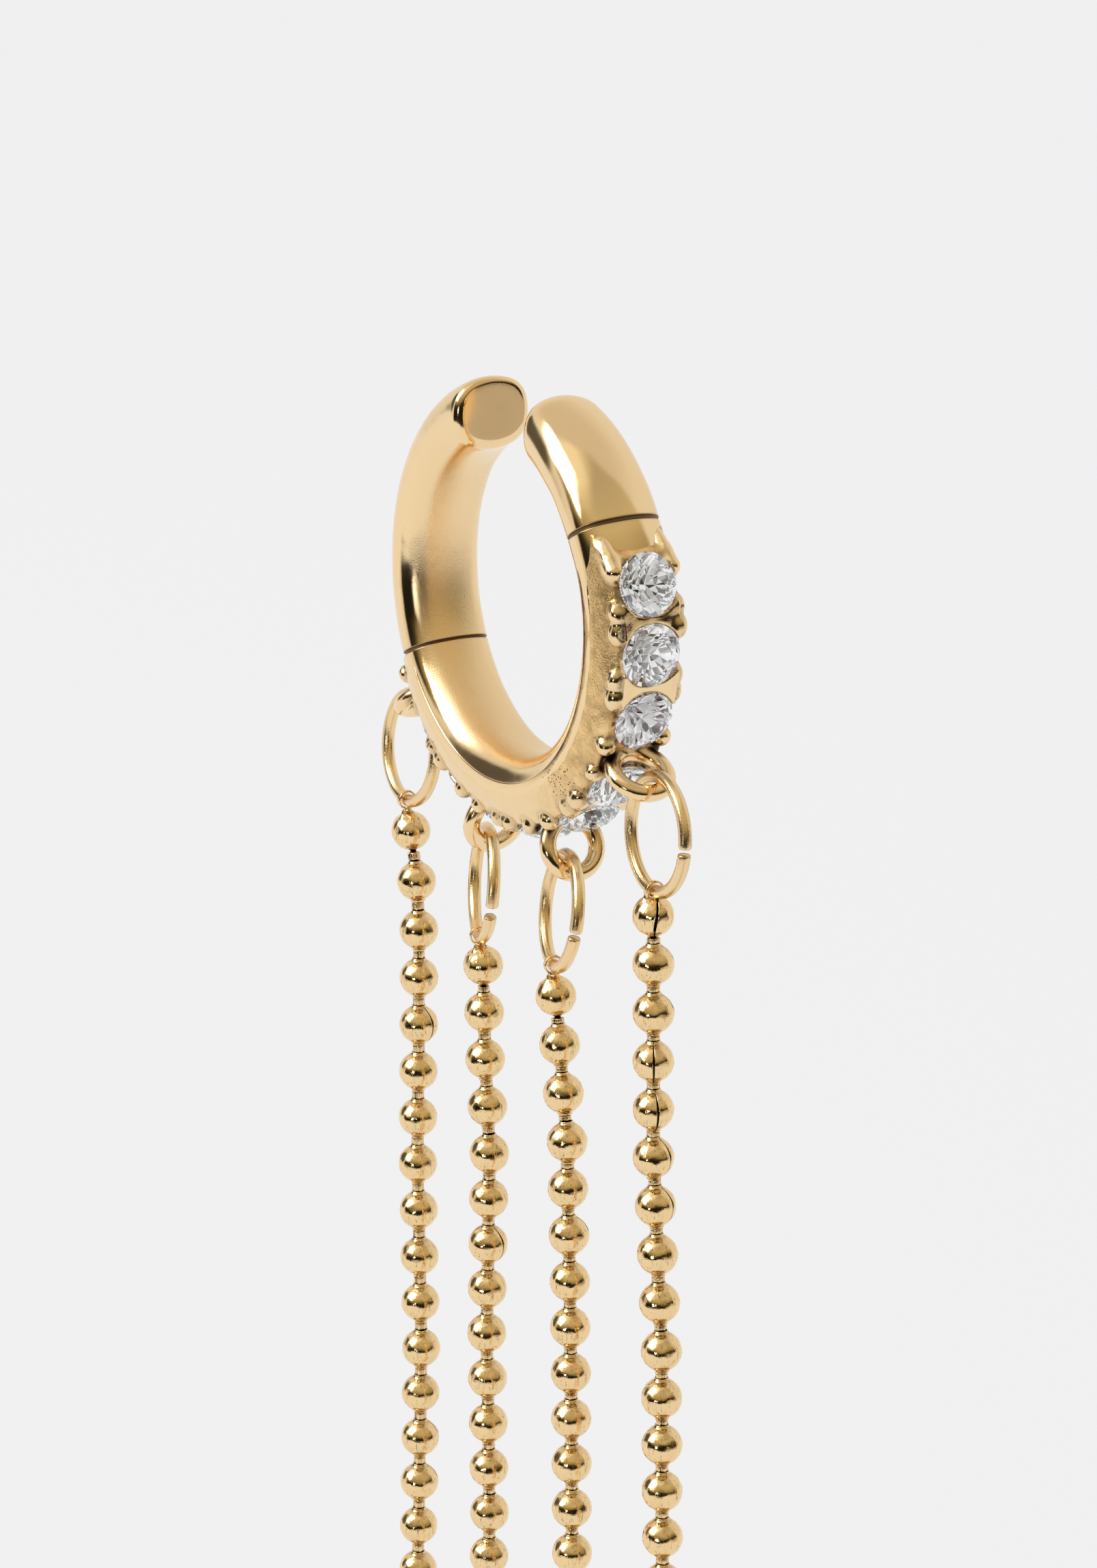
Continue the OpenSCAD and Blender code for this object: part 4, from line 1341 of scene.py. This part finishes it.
def studio_floor(right, ahead):
    """A sheet of paper that ends short in front of the cuff and runs far back behind it."""
    sheet = bpy.data.meshes.new("studio_floor")
    edge = []
    for a in np.linspace(0, 2 * math.pi, 96, endpoint=False):
        reach = 0.2 + 0.08 * abs(math.sin(a)) + 1.5 * max(0.0, -math.cos(a)) ** 1.5
        edge.append(tuple(reach * (math.cos(a) * ahead + math.sin(a) * right) + [0, 0, -75 * MM]))
    sheet.from_pydata(edge, [], [list(range(len(edge)))])
    sheet.materials.append(finish_of(pale_paper))
    floor = bpy.data.objects.new("studio_floor", sheet)
    bpy.context.collection.objects.link(floor)
    return floor


def room_light(t, axes, ahead, backdrop):
    """The room that the metal reflects: a dark floor, a lit ceiling and bright paper behind the cuff."""
    way = add(t, "ShaderNodeTexCoord").outputs["Object"]
    height = add(t, "ShaderNodeSeparateXYZ", {0: way}).outputs["Z"]

    def lobe(middle, outer, inner, strength=1.0):
        """How near a direction is to a middle one: from 0 at the outer edge to its strength at the inner."""
        near = add(t, "ShaderNodeVectorMath", {0: way, 1: tuple(middle)}, operation="DOT_PRODUCT")
        return add(t, "ShaderNodeMapRange", {
            "Value": near.outputs["Value"], "From Min": outer, "From Max": inner, "To Max": strength},
            interpolation_type="SMOOTHSTEP").outputs[0]

    def over(under, colour, share):
        """Lays a colour over another by that share."""
        return add(t, "ShaderNodeMix", {"Factor": share, "A": under, "B": colour},
                   data_type="RGBA").outputs["Result"]

    # the room in front: a dark band at eye level, warm grey walls and a lighter ceiling
    rise = add(t, "ShaderNodeMapRange", {"Value": height, "From Min": -1.0, "From Max": 1.0})
    walls = add(t, "ShaderNodeValToRGB", {0: rise.outputs[0]})
    add_stops(walls, [(0, "#2A261F"), (1, "#B5AC98"), (0.5, "#1C1A15"), (0.56, "#3F3824"), (0.64, "#A3946F"),
                      (0.8, "#CDC1A0")])
    # the key's wide glow on the wall above and to the left
    key_way = toward((-0.42, 0.86, 0.28), axes)
    glow = lobe(key_way / np.linalg.norm(key_way), 0.74, 0.94)
    lit = over(walls.outputs[0], linear("#FAF3DD"), glow)
    # behind the cuff, a bright sheet of paper that loses light towards the ceiling
    paper_rise = add(t, "ShaderNodeMapRange", {"Value": height, "From Min": 0.55, "From Max": 0.9},
                     interpolation_type="SMOOTHSTEP")
    pages = over(linear("#E9E6E1"), linear("#D8D0C5"), paper_rise.outputs[0])
    sheet = over(lit, pages, lobe(-ahead, -0.1, 0.02))
    # a black flag at the left edge of the sheet draws the dark line beside every highlight
    flag_way = toward((-0.87, 0.32, -0.375), axes)
    flag = lobe(flag_way / np.linalg.norm(flag_way), 0.935, 0.972, 0.9)
    room = add(t, "ShaderNodeBackground", {"Color": over(sheet, linear("#2E2615"), flag), "Strength": 1.0})
    # the lens sees pale paper all round, the metal reflects the room
    paper = add(t, "ShaderNodeBackground", {"Color": backdrop, "Strength": 1.0})
    seen = add(t, "ShaderNodeLightPath").outputs["Is Camera Ray"]
    both = add(t, "ShaderNodeMixShader", {0: seen, 1: room.outputs[0], 2: paper.outputs[0]})
    add(t, "ShaderNodeOutputWorld", {"Surface": both.outputs[0]})


class CUFF_OT_studio(bpy.types.Operator):
    """The pale floor, the soft lamps, the room and the camera at the photograph's angle"""

    bl_idname = "cuff.studio"
    bl_label = "Studio"

    def execute(self, context):
        s = context.scene.ear_cuff_studio
        axes = right, _, back = camera_axes(s)
        ahead = np.array([back[0], back[1], 0]) / math.hypot(back[0], back[1])
        context.scene.camera = photo_camera(s, axes)
        studio_floor(right, ahead)
        for name, (way, size, power, colour) in LAMPS.items():
            softbox(name, toward(way, axes), size, s.key if power is None else power, colour)
        world = bpy.data.worlds.new("studio_room")
        context.scene.world = world
        world.use_nodes = True
        world.node_tree.nodes.clear()
        room_light(world.node_tree, axes, ahead, s.backdrop)
        context.scene.view_settings.view_transform = "Standard"
        return {"FINISHED"}


# The add-on's panel and registration


PARTS = (
    ("ear_cuff_hoop", HoopSettings, "cuff.hoop"),
    ("ear_cuff_row", RowSettings, "cuff.row"),
    ("ear_cuff_stones", StoneSettings, "cuff.stones"),
    ("ear_cuff_rings", RingSettings, "cuff.jump_rings"),
    ("ear_cuff_chains", ChainSettings, "cuff.chains"),
    ("ear_cuff_studio", StudioSettings, "cuff.studio"),
)
OPERATORS = (CUFF_OT_hoop, CUFF_OT_row, CUFF_OT_stones, CUFF_OT_jump_rings, CUFF_OT_chains, CUFF_OT_studio)


class CUFF_PT_panel(bpy.types.Panel):
    """Every part of the cuff with its sizes and colours"""

    bl_idname = "CUFF_PT_panel"
    bl_label = "Ear cuff"
    bl_space_type = "VIEW_3D"
    bl_region_type = "UI"
    bl_category = "Ear cuff"

    def draw(self, context):
        for name, group, operator in PARTS:
            box = self.layout.box()
            box.operator(operator)
            settings = getattr(context.scene, name)
            for key in group.__annotations__:
                box.prop(settings, key)


def register():
    for name, group, _ in PARTS:
        bpy.utils.register_class(group)
        setattr(bpy.types.Scene, name, PointerProperty(type=group))
    for operator in OPERATORS:
        bpy.utils.register_class(operator)
    bpy.utils.register_class(CUFF_PT_panel)


def unregister():
    bpy.utils.unregister_class(CUFF_PT_panel)
    for operator in reversed(OPERATORS):
        bpy.utils.unregister_class(operator)
    for name, group, _ in reversed(PARTS):
        delattr(bpy.types.Scene, name)
        bpy.utils.unregister_class(group)


def main():
    register()
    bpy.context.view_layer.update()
    bpy.ops.cuff.hoop()
    bpy.ops.cuff.row()
    bpy.ops.cuff.stones()
    bpy.ops.cuff.jump_rings()
    bpy.ops.cuff.chains()
    bpy.ops.cuff.studio()


if __name__ == "__main__":
    main()
